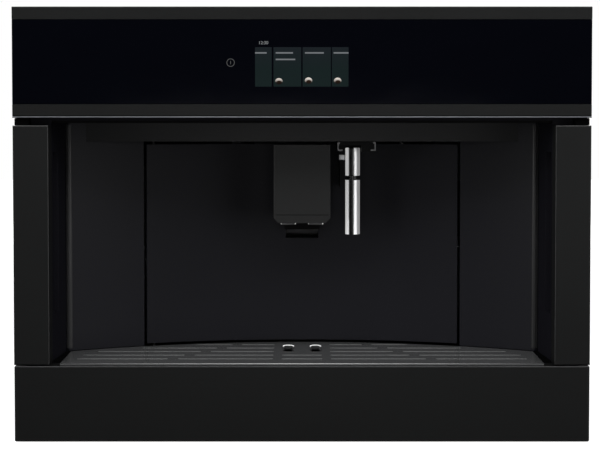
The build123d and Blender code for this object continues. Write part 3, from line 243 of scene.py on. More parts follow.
def castMetal(name, colour, roughness, grain=0.0012):
    # sand-cast skin, rough and blotchy
    graph = Graph(name)
    skin = graph.noise(grain, 4.0)
    stain = graph.noise(0.025, 4.0)
    return graph.surface(**{
        "Base Color": graph.tint(stain, scaled(colour, 0.75), colour),
        "Metallic": 0.9,
        "Roughness": graph.ramp(skin, roughness - 0.08, roughness + 0.08) + graph.ramp(stain, -0.05, 0.05),
        "Normal": graph.bump(skin, 0.4, 0.0002),
    })


def blackGlass(name):
    # back-painted glass: near-black, very smooth, with the faintest smears
    graph = Graph(name)
    smears = graph.noise(0.05, 4.0, graph.stretched((1.0, 1.0, 2.5), (0.0, 0.5, 0.0)))
    return graph.surface(**{
        "Base Color": graph.tint(smears, (0.0010, 0.0012, 0.0023), (0.0013, 0.0015, 0.0029)),
        "Roughness": graph.ramp(smears, 0.05, 0.11),
        "Specular IOR Level": 0.06,
    })


def axisOf(graph, which):
    # one coordinate of the object, in metres: 0 across, 1 back, 2 up
    return graph.node("ShaderNodeSeparateXYZ", {}, {0: graph.place}, output=which)


def greyRamp(graph, factor, stops, blue=1.0):
    # a colour ramp in greys: each stop is a place along it and a level
    greys = [(place, (level, level, level * blue, 1.0)) for place, level in stops]
    return graph.node("ShaderNodeValToRGB", {"stops": greys}, {0: factor})


def chromeWithPaintedReflection(name, centreX, radius, groove):
    # polished tube with painted reflections: bars of dark and light run along it in the base colour, a
    # painted glow lifts the light bars, and the groove round it is painted dark as painted shade
    graph = Graph(name)
    across = (axisOf(graph, 0) - centreX) / radius * 0.5 + 0.5
    # painted reflection: levels of the base colour across the tube, from its left edge to its right
    paintedReflectionBars = [
        (0.0, 0.50), (0.20, 0.66), (0.235, 0.03), (0.25, 0.004), (0.545, 0.004),
        (0.57, 0.93), (0.78, 0.93), (0.82, 0.28), (1.0, 0.32),
    ]
    # painted glow on the light bars
    paintedGlowBars = [
        (0.0, 0.42), (0.19, 0.42), (0.25, 0.0), (0.545, 0.0),
        (0.58, 0.12), (0.78, 0.16), (0.82, 0.12), (1.0, 0.18),
    ]
    shade, paintedGlow = greyRamp(graph, across, paintedReflectionBars, 1.01), greyRamp(graph, across, paintedGlowBars)
    height = axisOf(graph, 2)
    inGroove = (height > groove[0]) * (height < groove[1])
    beside = across < 0.001  # the pivot pin, left of the tube
    # painted shade in the groove; the pivot pin beside the tube is painted dark as well
    grooveShadeAndDarkPin = inGroove.maths("MAXIMUM", inGroove, beside)
    wipes = graph.noise(0.003, 3.0, graph.stretched((1.0, 1.0, 0.1)))
    return graph.surface(**{
        "Base Color": graph.tint(grooveShadeAndDarkPin, shade, (0.012, 0.012, 0.012)),
        "Emission Color": graph.tint(grooveShadeAndDarkPin, paintedGlow, (0.0, 0.0, 0.0)),
        "Emission Strength": 1.0,
        "Metallic": 0.2,
        "Roughness": graph.ramp(wipes, 0.12, 0.22),
        "Specular IOR Level": 0.25,
        "Normal": graph.bump(wipes, 0.05, 0.00002),
    })


finishes = {
    "dark_steel": brushedMetal("darkSteel", (0.0142, 0.0146, 0.0146), 0.42, metallic=0.6, level=0.13),
    "polished_trim": brushedMetal("polishedTrim", (0.155, 0.160, 0.175), 0.36, streak=0.04),
    "black_glass": blackGlass("blackGlass"),
    "screen": mattPlastic("screenFrame", (0.004, 0.004, 0.005), 0.3, grain=0.0003),
    "circuit_board": mattPlastic("boardLacquer", (0.02, 0.09, 0.04), 0.35, grain=0.002),
    "niche_plastic": mattPlastic("nichePlastic", (0.0063, 0.0063, 0.0088), 0.48, level=0.14),
    "cheek_plastic": mattPlastic("cheekPlastic", (0.0058, 0.0056, 0.0080), 0.55, level=0.08),
    "door_plastic": mattPlastic("doorPlastic", (0.0066, 0.0066, 0.0090), 0.48, level=0.14),
    "well_plastic": mattPlastic("wellPlastic", (0.003, 0.003, 0.0032), 0.6, level=0.05),
    "spout_plastic": mattPlastic("spoutPlastic", (0.0125, 0.0128, 0.0128), 0.42, level=0.16),
    "chrome": polishedMetal("chrome", (0.86, 0.87, 0.88), 0.05),
    "tray_metal": brushedMetal("trayMetal", (0.094, 0.096, 0.097), 0.16, metallic=0.35, streak=0.05),
    "zinc_sheet": zincSheet("zincSheet", (0.50, 0.51, 0.53)),
    "rail_steel": brushedMetal("railSteel", (0.48, 0.48, 0.50), 0.3, "Y"),
    "lamp_lens": mattPlastic("lampLens", (0.72, 0.74, 0.70), 0.25, level=0.5),
    "smoked_plastic": clearPlastic("smokedPlastic", (0.05, 0.045, 0.04), 0.15, 0.72),
    "clear_plastic": clearPlastic("clearPlastic", (0.62, 0.72, 0.78), 0.12, 0.38),
    "black_plastic": mattPlastic("blackPlastic", (0.016, 0.016, 0.017), 0.5),
    "pale_plastic": mattPlastic("palePlastic", (0.62, 0.63, 0.64), 0.32, grain=0.0004, level=0.5),
    "grey_plastic": mattPlastic("greyPlastic", (0.14, 0.14, 0.145), 0.45, level=0.4),
    "motor_steel": brushedMetal("motorSteel", (0.20, 0.21, 0.23), 0.38, "Z", metallic=0.6),
    "burr_steel": brushedMetal("burrSteel", (0.50, 0.50, 0.51), 0.25, "Z"),
    "boiler_metal": castMetal("boilerMetal", (0.58, 0.58, 0.59), 0.45),
    "pump_metal": castMetal("pumpMetal", (0.58, 0.42, 0.16), 0.35, 0.0006),
    "pipe_metal": brushedMetal("pipeMetal", (0.60, 0.59, 0.57), 0.25, "Z"),
    "switch_plastic": mattPlastic("switchPlastic", (0.010, 0.010, 0.010), 0.25, level=0.5),
}


def coat(nodeName, finish):
    # gives a CAD node one finish all over
    node = nodes[nodeName]
    if not node.material_slots:
        node.data.materials.append(finish)
    for slot in node.material_slots:
        slot.material = finish


for part in frame["record"]["subparts"]:
    coat(part["node"], finishes[part["material_slot"]])
# the lintel gets its own lighter plastic, painted light that makes up for the shade under the control panel
coat("lintel", mattPlastic("lintelPaintedLight", (0.0085, 0.0085, 0.0090), 0.34, level=0.14))
coat("hinge_pins", castMetal("pinSteel", (0.02, 0.02, 0.02), 0.5))
print("stage: finishes on", len(nodes), "CAD nodes")


def at(x, depth, z):
    # millimetres, with the depth measured back from the front plane
    return Vector((x / 1000, frontY + depth / 1000, z / 1000))


def newPiece(name, shape, body, finish, smooth=True):
    # a finished bmesh becomes an object at the origin that moves with its body
    data = bpy.data.meshes.new(name)
    shape.to_mesh(data)
    shape.free()
    data.materials.append(finish)
    if smooth:
        data.shade_smooth()
        data.set_sharp_from_angle(angle=math.radians(35.0))
    piece = bpy.data.objects.new(name, data)
    bpy.context.collection.objects.link(piece)
    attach(piece, body)
    return piece


def block(shape, xs, depths, zs, rounding=0.0, segments=2):
    # a box between two corners in millimetres, with its edges rounded
    low, high = at(xs[0], depths[0], zs[0]), at(xs[1], depths[1], zs[1])
    place = Matrix.Translation((low + high) / 2) @ Matrix.Diagonal((*(high - low), 1.0))
    made = bmesh.ops.create_cube(shape, size=1.0, matrix=place)["verts"]
    if rounding:
        edges = list({edge for vert in made for edge in vert.link_edges})
        bmesh.ops.bevel(
            shape, geom=edges, offset=rounding / 1000, segments=segments, profile=0.5,
            affect="EDGES", clamp_overlap=True, material=-1,
        )


def lathe(shape, points, centre, axis="Z", steps=32, closed=False):
    # spins (radius, height) points in millimetres about an axis through the centre
    turned = {
        "Z": Matrix.Identity(3),
        "Y": Matrix(((1, 0, 0), (0, 0, 1), (0, 1, 0))),  # heights run back
    }[axis]
    line = [shape.verts.new(centre + turned @ Vector((r / 1000, 0.0, h / 1000))) for r, h in points]
    ends = zip(line, line[1:] + line[:1]) if closed else zip(line, line[1:])
    edges = [shape.edges.new(pair) for pair in ends]
    before = set(shape.verts) - set(line)
    bmesh.ops.spin(
        shape, geom=line + edges, cent=centre, axis=turned @ Vector((0, 0, 1)),
        angle=2 * math.pi, steps=steps, use_merge=True,
    )
    made = [vert for vert in shape.verts if vert not in before]
    bmesh.ops.remove_doubles(shape, verts=made, dist=1e-7)
    made = [vert for vert in shape.verts if vert not in before]
    bmesh.ops.recalc_face_normals(shape, faces=list({face for vert in made for face in vert.link_faces}))


def plate(shape, outline, depths):
    # an outline of (x, z) points in millimetres, given a thickness from one depth to another
    face = shape.faces.new([shape.verts.new(at(x, depths[0], z)) for x, z in outline])
    made = bmesh.ops.extrude_face_region(shape, geom=[face])["geom"]
    moved = [part for part in made if isinstance(part, bmesh.types.BMVert)]
    bmesh.ops.translate(shape, verts=moved, vec=(0.0, (depths[1] - depths[0]) / 1000, 0.0))
    faces = list({part for vert in moved + face.verts[:] for part in vert.link_faces})
    bmesh.ops.recalc_face_normals(shape, faces=faces)


def oval(centreX, centreZ, width, height, count=28):
    # points round an ellipse, for a plate's outline
    angles = [2 * math.pi * i / count for i in range(count)]
    return [(centreX + math.cos(a) * width / 2, centreZ + math.sin(a) * height / 2) for a in angles]


def sided(side, span):
    # a span in x on the right, carried to the left where side is -1
    return sorted(side * x for x in span)


def ring(inner, outer, low, high):
    # a plain rectangular section for the lathe
    return [(inner, high), (inner, low), (outer, low), (outer, high)]


def digits(shape, text, size, place, centred=False, thickness=0.0):
    # adds plain digits to a bmesh: size and thickness in millimetres, place is a matrix
    words = bpy.data.curves.new("digits", "FONT")
    words.body, words.size, words.extrude = text, size / 1000, thickness / 1000
    if centred:
        words.align_x = words.align_y = "CENTER"
    holder = bpy.data.objects.new("digits", words)
    flat = bpy.data.meshes.new_from_object(holder)
    bpy.data.objects.remove(holder)
    flat.transform(place)
    shape.from_mesh(flat)


def litScreen(name, colour, topColour=None, span=(0.0, 1.0)):
    # part of a lit picture: its own light, a little uneven, with an optional fade up the tile
    graph = Graph(name)
    cloud = graph.noise(0.012, 2.0)
    low, high = colour, topColour or colour
    upwards = graph.ramp(axisOf(graph, 2), 0.0, 1.0, *span)
    bright = graph.tint(upwards, low, high)
    dim = graph.tint(upwards, scaled(low, 0.92), scaled(high, 0.92))
    return graph.surface(**{
        "Base Color": (0.0, 0.0, 0.0),
        "Roughness": graph.ramp(cloud, 0.25, 0.35),
        "Specular IOR Level": 0.03,
        "Emission Color": graph.tint(cloud, dim, bright),
        "Emission Strength": 1.0,
    })


display = {
    "tiles": ((-48.1, -31.1), (-29.2, -0.8), (0.7, 29.6), (30.7, 47.7)),
    "tileHeights": (368.0, 408.4),
    "tileDepths": (0.28, 0.5),
    "tileColours": ((0.0080, 0.0150, 0.0152), (0.0110, 0.0148, 0.0178)),  # foot and top
    "tileFade": (0.385, 0.407),  # metres up, where one turns into the other
    "clock": "12:30",
    "clockPlace": (-44.7, 0.25, 411.5),  # across, back, up
    "clockSize": 4.6,
    "clockColour": (0.26, 0.27, 0.28),
    "lineRows": (402.6, 395.9),
    "lineHeight": 1.5,
    "lineDepths": (0.22, 0.4),
    "lineColour": (0.17, 0.18, 0.19),
    "lines": ((0, -48.1, -36.2), (0, -27.0, -9.2), (1, -27.0, -6.9), (0, 3.0, 22.4), (0, 32.4, 47.7)),
    "cups": ((-23.7, 373.4), (6.7, 374.1), (36.6, 373.9)),
    "cupWidth": 7.7,
    "cupShares": (1.0, 0.86),  # width and height, as shares of the cup's width
    "cupDepths": (0.20, 0.4),
    "cupColours": ((0.010, 0.009, 0.009), (0.95, 0.86, 0.78)),
    "cupFade": (0.3724, 0.3775),
    "coffeeShares": (0.66, 0.44),
    "coffeeShift": (0.3, -0.9),
    "coffeeDepths": (0.16, 0.3),
    "coffeeColours": ((0.006, 0.004, 0.003), (0.035, 0.018, 0.010)),
    "coffeeFade": (0.371, 0.376),
}
tiles = bmesh.new()
for span in display["tiles"]:
    block(tiles, span, display["tileDepths"], display["tileHeights"], 0.08)
tileLight = litScreen("menuTile", *display["tileColours"], display["tileFade"])
newPiece("menu_tiles", tiles, "machine", tileLight, smooth=False)

lines = bmesh.new()
for row, left, right in display["lines"]:
    z, half = display["lineRows"][row], display["lineHeight"] / 2
    block(lines, (left, right), display["lineDepths"], (z - half, z + half), 0.07)
lineLight = litScreen("menuLine", display["lineColour"])
newPiece("menu_lines", lines, "machine", lineLight, smooth=False)

clock = bmesh.new()
upright = Matrix.Rotation(math.radians(90.0), 4, "X")
clockCorner = Matrix.Translation(at(*display["clockPlace"]))
digits(clock, display["clock"], display["clockSize"], clockCorner @ upright)
clockLight = litScreen("clockLight", display["clockColour"])
newPiece("clock_digits", clock, "machine", clockLight, smooth=False)

cups, coffee = bmesh.new(), bmesh.new()
cupSize = scaled(display["cupShares"], display["cupWidth"])
coffeeSize = scaled(display["coffeeShares"], display["cupWidth"])
across, up = display["coffeeShift"]
for x, z in display["cups"]:
    plate(cups, oval(x, z, *cupSize), display["cupDepths"])
    plate(coffee, oval(x + across, z + up, *coffeeSize), display["coffeeDepths"])
cupLight = litScreen("cupWall", *display["cupColours"], display["cupFade"])
newPiece("cup_walls", cups, "machine", cupLight, smooth=False)
coffeeLight = litScreen("cupFill", *display["coffeeColours"], display["coffeeFade"])
newPiece("cup_fills", coffee, "machine", coffeeLight, smooth=False)

# a ring with a short bar in it
powerMark = {
    "x": -73.2,
    "z": 392.6,
    "depths": (0.24, 0.36),
    "radius": 3.9,
    "line": 0.62,
    "bar": 3.4,
    "colour": (0.085, 0.085, 0.085),
}
mark = bmesh.new()
x, z, near = powerMark["x"], powerMark["z"], powerMark["depths"][0]
rim, tall = powerMark["line"] / 2, powerMark["bar"] / 2
markRing = ring(powerMark["radius"] - rim, powerMark["radius"] + rim, 0.0, powerMark["depths"][1] - near)
lathe(mark, markRing, at(x, near, z), "Y", 40, True)
block(mark, (x - rim, x + rim), powerMark["depths"], (z - tall, z + tall), 0.05)
markLight = litScreen("powerLight", powerMark["colour"])
newPiece("power_mark", mark, "machine", markLight, smooth=False)
print("stage: display")


# near-black blocks that fill the gaps round the panels and the cheeks, painted shade standing in for the
# shadow in these gaps: spans across, back and up, then rounding
gapShadeBlocks = {
    "overGrips": ((281.5, 296.4), (5.0, 19.6), (328.2, 335.8), 0.8),
    "overCheeks": ((256.8, 280.6), (23.4, 76.0), (330.05, 335.8), 0.8),
    "underCheeks": ((252.2, 280.6), (20.4, 76.0), (78.4, 81.45), 0.5),
}
gapShade = bmesh.new()
for side in (-1, 1):
    for xs, depths, heights, rounding in gapShadeBlocks.values():
        block(gapShade, sided(side, xs), depths, heights, rounding)
gapShadeFinish = mattPlastic("gapShadeBlocks", (0.0012, 0.0012, 0.0013), 0.85, grain=0.0009, depth=0.00012, level=0.02)
newPiece("gap_shade_blocks", gapShade, "machine", gapShadeFinish)

# half-round beads where the niche wall meets the cheeks, painted lighter than the niche wall as a painted
# highlight, the left one lighter still as painted light from the left
edgeBead = {"centreX": 253.0, "depth": 85.3, "radius": 3.6, "heights": (82.0, 329.6)}
beads = bmesh.new()
reach, depth = edgeBead["radius"], edgeBead["depth"]
for side in (-1, 1):
    xs = sided(side, (edgeBead["centreX"] - reach, edgeBead["centreX"] + reach))
    block(beads, xs, (depth - reach, depth + reach), edgeBead["heights"], reach * 0.92, 5)
beadGraph = Graph("beadPaintedHighlight")
# painted light: lighter on the left bead, darker towards the right
towardShadedRight = beadGraph.ramp(axisOf(beadGraph, 0), 0.0, 1.0, -0.25, 0.25)
newPiece("edge_beads", beads, "machine", beadGraph.surface(**{
    "Base Color": beadGraph.tint(towardShadedRight, (0.030, 0.030, 0.0305), (0.017, 0.017, 0.0175)),
    "Roughness": beadGraph.ramp(beadGraph.noise(0.0006, 2.0), 0.36, 0.48),
    "Specular IOR Level": 0.3,
}))


def slotRim(shape, x, depth, length, width, levels, across=True, segments=16):
    # a closed rim round a slot; each level is (how far outside the slot's edge, height) in millimetres
    loops = []
    for reach, z in levels:
        turned = Matrix.Rotation(math.pi / segments, 4, "Z")
        radius = (width / 2 + reach) / 1000
        made = bmesh.ops.create_circle(shape, segments=segments, radius=radius, matrix=turned)["verts"]
        shift = (length - width) / 2000
        for vert in made:
            if across:
                vert.co.x += math.copysign(shift, vert.co.x)
            else:
                vert.co.y += math.copysign(shift, vert.co.y)
            vert.co += at(x, depth, z)
        loops.append({edge for vert in made for edge in vert.link_edges})
    faces = []
    for first, second in zip(loops, loops[1:] + loops[:1]):
        faces += bmesh.ops.bridge_loops(shape, edges=list(first | second))["faces"]
    bmesh.ops.recalc_face_normals(shape, faces=faces)


# rims of the grid's slots, as bright as a pressed edge; a slanting bridge parts the slots of each side
gridSlots = {
    "rows": (34.0, 56.5, 79.0, 101.5, 124.0),
    "outerEnds": (237.0, 234.0, 221.0, 175.0, 117.0),
    "bridgeOuter": 142.0,
    "bridgeStep": 16.0,
    "bridgeWidth": 11.5,
    "innerStart": 31.0,
    "middleHalf": 21.0,
    "middleRows": 2,
    "width": 3.0,
    "top": 81.2,
    "lip": 0.55,
}
spans = []
for row, (depth, outerEnd) in enumerate(zip(gridSlots["rows"], gridSlots["outerEnds"])):
    bridge = gridSlots["bridgeOuter"] - gridSlots["bridgeStep"] * row
    for side in (-1, 1):
        spans.append((depth, side * bridge, side * outerEnd))
        spans.append((depth, side * gridSlots["innerStart"], side * (bridge - gridSlots["bridgeWidth"])))
    if row < gridSlots["middleRows"]:
        spans.append((depth, -gridSlots["middleHalf"], gridSlots["middleHalf"]))
rims = bmesh.new()
top, lip = gridSlots["top"], gridSlots["lip"]
rimLevels = [
    (lip, top - 0.1), (lip * 0.6, top + 0.16), (lip * 0.1, top + 0.1),
    (-0.05, top - 0.5), (lip * 0.5, top - 0.6),
]
for depth, first, last in spans:
    slotRim(rims, (first + last) / 2, depth, abs(last - first), gridSlots["width"], rimLevels)
rimFinish = mattPlastic("slotRim", (0.098, 0.100, 0.100), 0.35, grain=0.004)
newPiece("slot_rims", rims, "tray_grid", rimFinish)

# polished rims of the two finger eyelets, turned down into the grid; their rear is white with a painted
# highlight and a painted glow, and they are dark elsewhere
eyelets = {
    "xs": (-15.0, 15.0),
    "depth": 98.0,
    "length": 44.0,
    "width": 11.5,
    "top": 81.2,
    "foot": 76.9,
    # where the painted highlight on the rims begins
    "litBack": (0.106, 0.112),  # metres behind the front, where the bright part begins
    "litAbove": 0.0806,  # metres up
}
collars = bmesh.new()
top, foot = eyelets["top"], eyelets["foot"]
collarLevels = [
    (0.7, top - 0.1), (0.5, top + 0.35), (-0.1, top + 0.55), (-0.75, top + 0.25),
    (-1.1, top - 0.5), (-1.35, foot), (-0.6, foot),
]
for x in eyelets["xs"]:
    slotRim(collars, x, eyelets["depth"], eyelets["length"], eyelets["width"], collarLevels, False, 28)
eyeletGraph = Graph("eyeletPaintedHighlight")
litSpan = (frontY + back for back in eyelets["litBack"])
atRear = eyeletGraph.ramp(axisOf(eyeletGraph, 1), 0.0, 1.0, *litSpan)
# painted highlight and painted glow on the rear of each rim, high up
lit = atRear * (axisOf(eyeletGraph, 2) > eyelets["litAbove"])
newPiece("eyelet_collars", collars, "tray_grid", eyeletGraph.surface(**{
    "Base Color": eyeletGraph.tint(lit, (0.03, 0.03, 0.031), (0.95, 0.95, 0.95)),
    "Roughness": eyeletGraph.ramp(eyeletGraph.noise(0.004), 0.3, 0.4),
    "Specular IOR Level": 0.1,
    "Emission Color": eyeletGraph.tint(lit, (0.0, 0.0, 0.0), (0.22, 0.22, 0.22)),
    "Emission Strength": 1.0,
}))

# rolled front edge of the grid, with a painted highlight that is brightest in the middle and fades towards
# the ends
gridLip = {"halfWidth": 248.5, "depths": (3.05, 5.2), "heights": (80.4, 81.75), "fade": (0.02, 0.24)}
lipBar = bmesh.new()
block(lipBar, (-gridLip["halfWidth"], gridLip["halfWidth"]), gridLip["depths"], gridLip["heights"], 0.6, 3)
lipGraph = Graph("trayLipPaintedHighlight")
alongLip = axisOf(lipGraph, 0)
# painted highlight, fading from the middle towards the ends
highlightToEnd = lipGraph.ramp(alongLip.maths("ABSOLUTE", alongLip), 0.0, 1.0, *gridLip["fade"])
newPiece("grid_front_lip", lipBar, "tray_grid", lipGraph.surface(**{
    "Base Color": lipGraph.tint(highlightToEnd, (0.34, 0.34, 0.34), (0.045, 0.045, 0.046)),
    "Metallic": 0.1,
    "Roughness": lipGraph.ramp(lipGraph.noise(0.01), 0.3, 0.36),
    "Specular IOR Level": 0.2,
}))

# bevelled edges of the panels, painted lighter than the panels as a painted highlight along the edges
bevels = {
    "outerX": 296.6,
    "depths": (0.15, 0.9),
    "lowerTop": (78.5, 79.25),
    "gripTop": (327.3, 327.95),
    "gripXs": (261.0, 261.6),
    "gripFoot": 81.5,
}
outerX, depths = bevels["outerX"], bevels["depths"]
edgeBars = bmesh.new()
block(edgeBars, (-outerX, outerX), depths, bevels["lowerTop"], 0.3)
lowerEdgeHighlight = brushedMetal("lowerBevelHighlight", (0.068, 0.069, 0.072), 0.4, metallic=0.2, streak=0.05)
newPiece("lower_panel_edge_highlight", edgeBars, "machine", lowerEdgeHighlight, smooth=False)
edgeBars = bmesh.new()
for side in (-1, 1):
    block(edgeBars, sided(side, (bevels["gripXs"][0], outerX)), depths, bevels["gripTop"], 0.25)
    block(edgeBars, sided(side, bevels["gripXs"]), depths, (bevels["gripFoot"], bevels["gripTop"][1]), 0.25)
gripEdgeHighlight = brushedMetal("gripBevelHighlight", (0.045, 0.046, 0.046), 0.4, "Z", metallic=0.2, streak=0.05)
newPiece("grip_edge_highlights", edgeBars, "machine", gripEdgeHighlight, smooth=False)
print("stage: tray, beads and gap_shade")


# near-black sheets behind the vents of the rear and the sides, painted shade standing in for the darkness
# behind the vents
ventShadeSheets = {
    "rearXs": (64.0, 196.0),
    "rearDepth": 464.7,
    "sideX": 260.7,
    "sideDepths": (364.0, 448.0),
    "heights": (274.0, 390.0),
    "thickness": 2.2,
}
ventShade = bmesh.new()
thick, rearDepth, sideX = ventShadeSheets["thickness"], ventShadeSheets["rearDepth"], ventShadeSheets["sideX"]
for side in (-1, 1):
    block(ventShade, sided(side, ventShadeSheets["rearXs"]), (rearDepth - thick, rearDepth), ventShadeSheets["heights"], 0.7)
    block(ventShade, sided(side, (sideX - thick, sideX)), ventShadeSheets["sideDepths"], ventShadeSheets["heights"], 0.7)
ventShadeFinish = mattPlastic("ventShadeSheet", (0.006, 0.006, 0.006), 0.9, grain=0.0015, depth=0.0004, level=0.05)
newPiece("vent_shade_sheets", ventShade, "machine", ventShadeFinish)
print("stage: vents")


# collars under the coffee nozzles, with a painted glint and a painted glow at their sides, and the parting
# line of the spout cover
spout = {
    "nozzleX": 15.0,
    "nozzleDepth": 100.0,
    "foot": 218.05,
    "section": ((5.1, 0.0), (8.05, 0.0), (8.3, 0.3), (8.3, 1.1), (8.05, 1.5), (5.1, 1.5)),
    # where the painted glint on a collar begins
    "glintRight": 0.0072,  # metres from a nozzle's middle, past which a collar is lit
    "glintLeft": -0.0074,
    "leftStrength": 0.45,
    "lineHalf": 28.7,
    "lineDepths": (74.88, 75.8),
    "lineHeights": (229.85, 230.55),
}
collars = bmesh.new()
for side in (-1, 1):
    centre = at(side * spout["nozzleX"], spout["nozzleDepth"], spout["foot"])
    lathe(collars, spout["section"], centre, "Z", 40, True)
collarGraph = Graph("collarPaintedGlint")
across = axisOf(collarGraph, 0)
offset = across - ((across > 0.0) * 2.0 - 1.0) * (spout["nozzleX"] / 1000)
# painted glint and glow at each collar's sides, weaker on the left
glint = (offset > spout["glintRight"]) + (offset < spout["glintLeft"]) * spout["leftStrength"]
collarGlintFinish = collarGraph.surface(**{
    "Base Color": collarGraph.tint(glint, (0.13, 0.13, 0.132), (0.9, 0.9, 0.9)),
    "Roughness": collarGraph.ramp(collarGraph.noise(0.002), 0.3, 0.4),
    "Specular IOR Level": 0.1,
    "Emission Color": collarGraph.tint(glint, (0.0, 0.0, 0.0), (0.3, 0.3, 0.3)),
    "Emission Strength": 1.0,
})
newPiece("nozzle_collars", collars, "coffee_spout", collarGlintFinish)
# the nozzles carry the same painted glint
coat("spout_nozzles", collarGlintFinish)
coat("spout_carriage", mattPlastic("carriagePlastic", (0.0028, 0.0028, 0.0030), 0.5, level=0.04))
groove = bmesh.new()
block(groove, (-spout["lineHalf"], spout["lineHalf"]), spout["lineDepths"], spout["lineHeights"], 0.1)
grooveFinish = mattPlastic("spoutGroove", (0.004, 0.004, 0.004), 0.6, level=0.03)
newPiece("spout_groove", groove, "coffee_spout", grooveFinish, smooth=False)

# the wand's rings and tip; sections are (radius, height)
wand = {
    "x": 55.5,
    "depth": 100.0,
    "radius": 8.0,
    "groove": (0.2670, 0.2716),  # metres up
    "sleeveRing": ((7.2, 271.9), (8.0, 271.8), (8.1, 272.5), (7.6, 272.9)),
    "footRing": (
        (5.2, 208.1), (5.2, 207.5), (7.4, 207.4), (8.15, 208.2),
        (8.15, 209.9), (7.8, 210.2), (5.4, 210.2),
    ),
    "tip": ((0.0, 214.0), (2.6, 213.6), (4.4, 212.4), (4.95, 210.6), (4.95, 215.5), (0.0, 215.8)),
}
# the tube, the sleeve and the rings share the painted reflections, the painted glow and the painted shade
# of the groove
wandPaintedFinish = chromeWithPaintedReflection("wandPaintedReflection", wand["x"] / 1000, wand["radius"] / 1000, wand["groove"])
coat("wand_sleeve", wandPaintedFinish)
coat("wand_tube", wandPaintedFinish)
wandAxis = at(wand["x"], wand["depth"], 0.0)
rings = bmesh.new()
lathe(rings, wand["sleeveRing"], wandAxis, "Z", 40, True)
lathe(rings, wand["footRing"], wandAxis, "Z", 40, True)
newPiece("wand_rings", rings, "steam_wand", wandPaintedFinish)
tip = bmesh.new()
lathe(tip, wand["tip"], wandAxis, "Z", 24)
tipFinish = mattPlastic("wandTip", (0.010, 0.010, 0.010), 0.4)
newPiece("wand_tip", tip, "steam_wand", tipFinish)

# ends of the wand's bracket, each a channel that opens inwards, painted lighter than the bracket as a
# painted highlight on its edges
bracketHighlights = {
    "left": 38.6,
    "right": 80.2,
    "depths": (85.95, 86.9),
    "heights": (299.2, 308.4),
    "foot": 5.6,
    "line": 1.4,
}
coat("wand_bracket", mattPlastic("bracketPlastic", (0.0042, 0.0042, 0.0045), 0.45, level=0.06))
ends = bmesh.new()
low, high, line = *bracketHighlights["heights"], bracketHighlights["line"]
for edgeX, inwards in ((bracketHighlights["left"], 1), (bracketHighlights["right"], -1)):
    inner, lip, toe = (edgeX + inwards * reach for reach in (line, 2 * line, bracketHighlights["foot"]))
    outline = [
        (edgeX, low), (toe, low), (toe, low + line), (inner, low + line),
        (inner, high - line), (lip, high - line), (lip, high), (edgeX, high),
    ]
    plate(ends, outline, bracketHighlights["depths"])
clipHighlightFinish = brushedMetal("clipPaintedHighlight", (0.10, 0.10, 0.102), 0.35, metallic=0.4)
newPiece("bracket_edge_highlights", ends, "service_door", clipHighlightFinish, smooth=False)
print("stage: spout and wand")


# cross recesses of the case screws, drawn as dark crosses of painted shade
screws = {
    "topXs": (-256.5, 256.5),
    "topDepths": (43.0, 446.0),
    "topFace": 439.0,
    "rearXs": (-250.8, 250.8),
    "rearZs": (19.5, 427.2),
    "rearFace": 467.8,
    "reach": 1.9,
    "line": 0.45,
    "sunk": 0.4,
    "proud": 0.06,
}
crosses = bmesh.new()
arms = ((screws["reach"], screws["line"]), (screws["line"], screws["reach"]))
topSpan = (screws["topFace"] - screws["sunk"], screws["topFace"] + screws["proud"])
rearSpan = (screws["rearFace"] - screws["sunk"], screws["rearFace"] + screws["proud"])
for wide, deep in arms:
    for x in screws["topXs"]:
        for depth in screws["topDepths"]:
            block(crosses, (x - wide, x + wide), (depth - deep, depth + deep), topSpan, 0.1, 1)
    for x in screws["rearXs"]:
        for z in screws["rearZs"]:
            block(crosses, (x - wide, x + wide), rearSpan, (z - deep, z + deep), 0.1, 1)
recessShadeFinish = mattPlastic("recessShade", (0.010, 0.010, 0.011), 0.6)
newPiece("screw_recesses", crosses, "machine", recessShadeFinish, smooth=False)

# pressed ribs that stiffen the sheets; each sheet has its outer face, its ribs' places and their span
ribs = {
    "proud": 1.1,
    "sunk": 0.8,
    "half": 4.0,
    "rounding": 0.78,
    "sideFace": 262.0,
    "sideHeights": (96.0, 172.0, 248.0),
    "sideDepths": (96.0, 352.0),
    "topFace": 437.2,
    "topXs": (-200.0, -100.0, 60.0, 130.0),
    "topDepths": (60.0, 210.0),
    "rearFace": 466.0,
    "rearHeights": (110.0, 170.0, 230.0),
    "rearXs": (-175.0, 100.0),
}
pressed = bmesh.new()
proud, sunk, half, soft = ribs["proud"], ribs["sunk"], ribs["half"], ribs["rounding"]
for side in (-1, 1):
    xs = sided(side, (ribs["sideFace"] - sunk, ribs["sideFace"] + proud))
    for z in ribs["sideHeights"]:
        block(pressed, xs, ribs["sideDepths"], (z - half, z + half), soft, 3)
for x in ribs["topXs"]:
    zs = (ribs["topFace"] - sunk, ribs["topFace"] + proud)
    block(pressed, (x - half, x + half), ribs["topDepths"], zs, soft, 3)
for z in ribs["rearHeights"]:
    depths = (ribs["rearFace"] - sunk, ribs["rearFace"] + proud)
    block(pressed, ribs["rearXs"], depths, (z - half, z + half), soft, 3)
newPiece("pressed_ribs", pressed, "machine", finishes["zinc_sheet"])

# raised frames round the vents: two level bars and two upright ones each
ventFrames = {
    "z": 332.2,
    "halfHeight": 56.0,
    "line": 2.6,
    "proud": 0.9,
    "sunk": 0.6,
    "rearX": 130.0,
    "rearHalf": 68.0,
    "sideDepth": 406.0,
    "sideHalf": 43.0,
}


def frameBars(half):
    # near and far bars of a frame, measured from its middle
    return ((-half, -half + ventFrames["line"]), (half - ventFrames["line"], half))


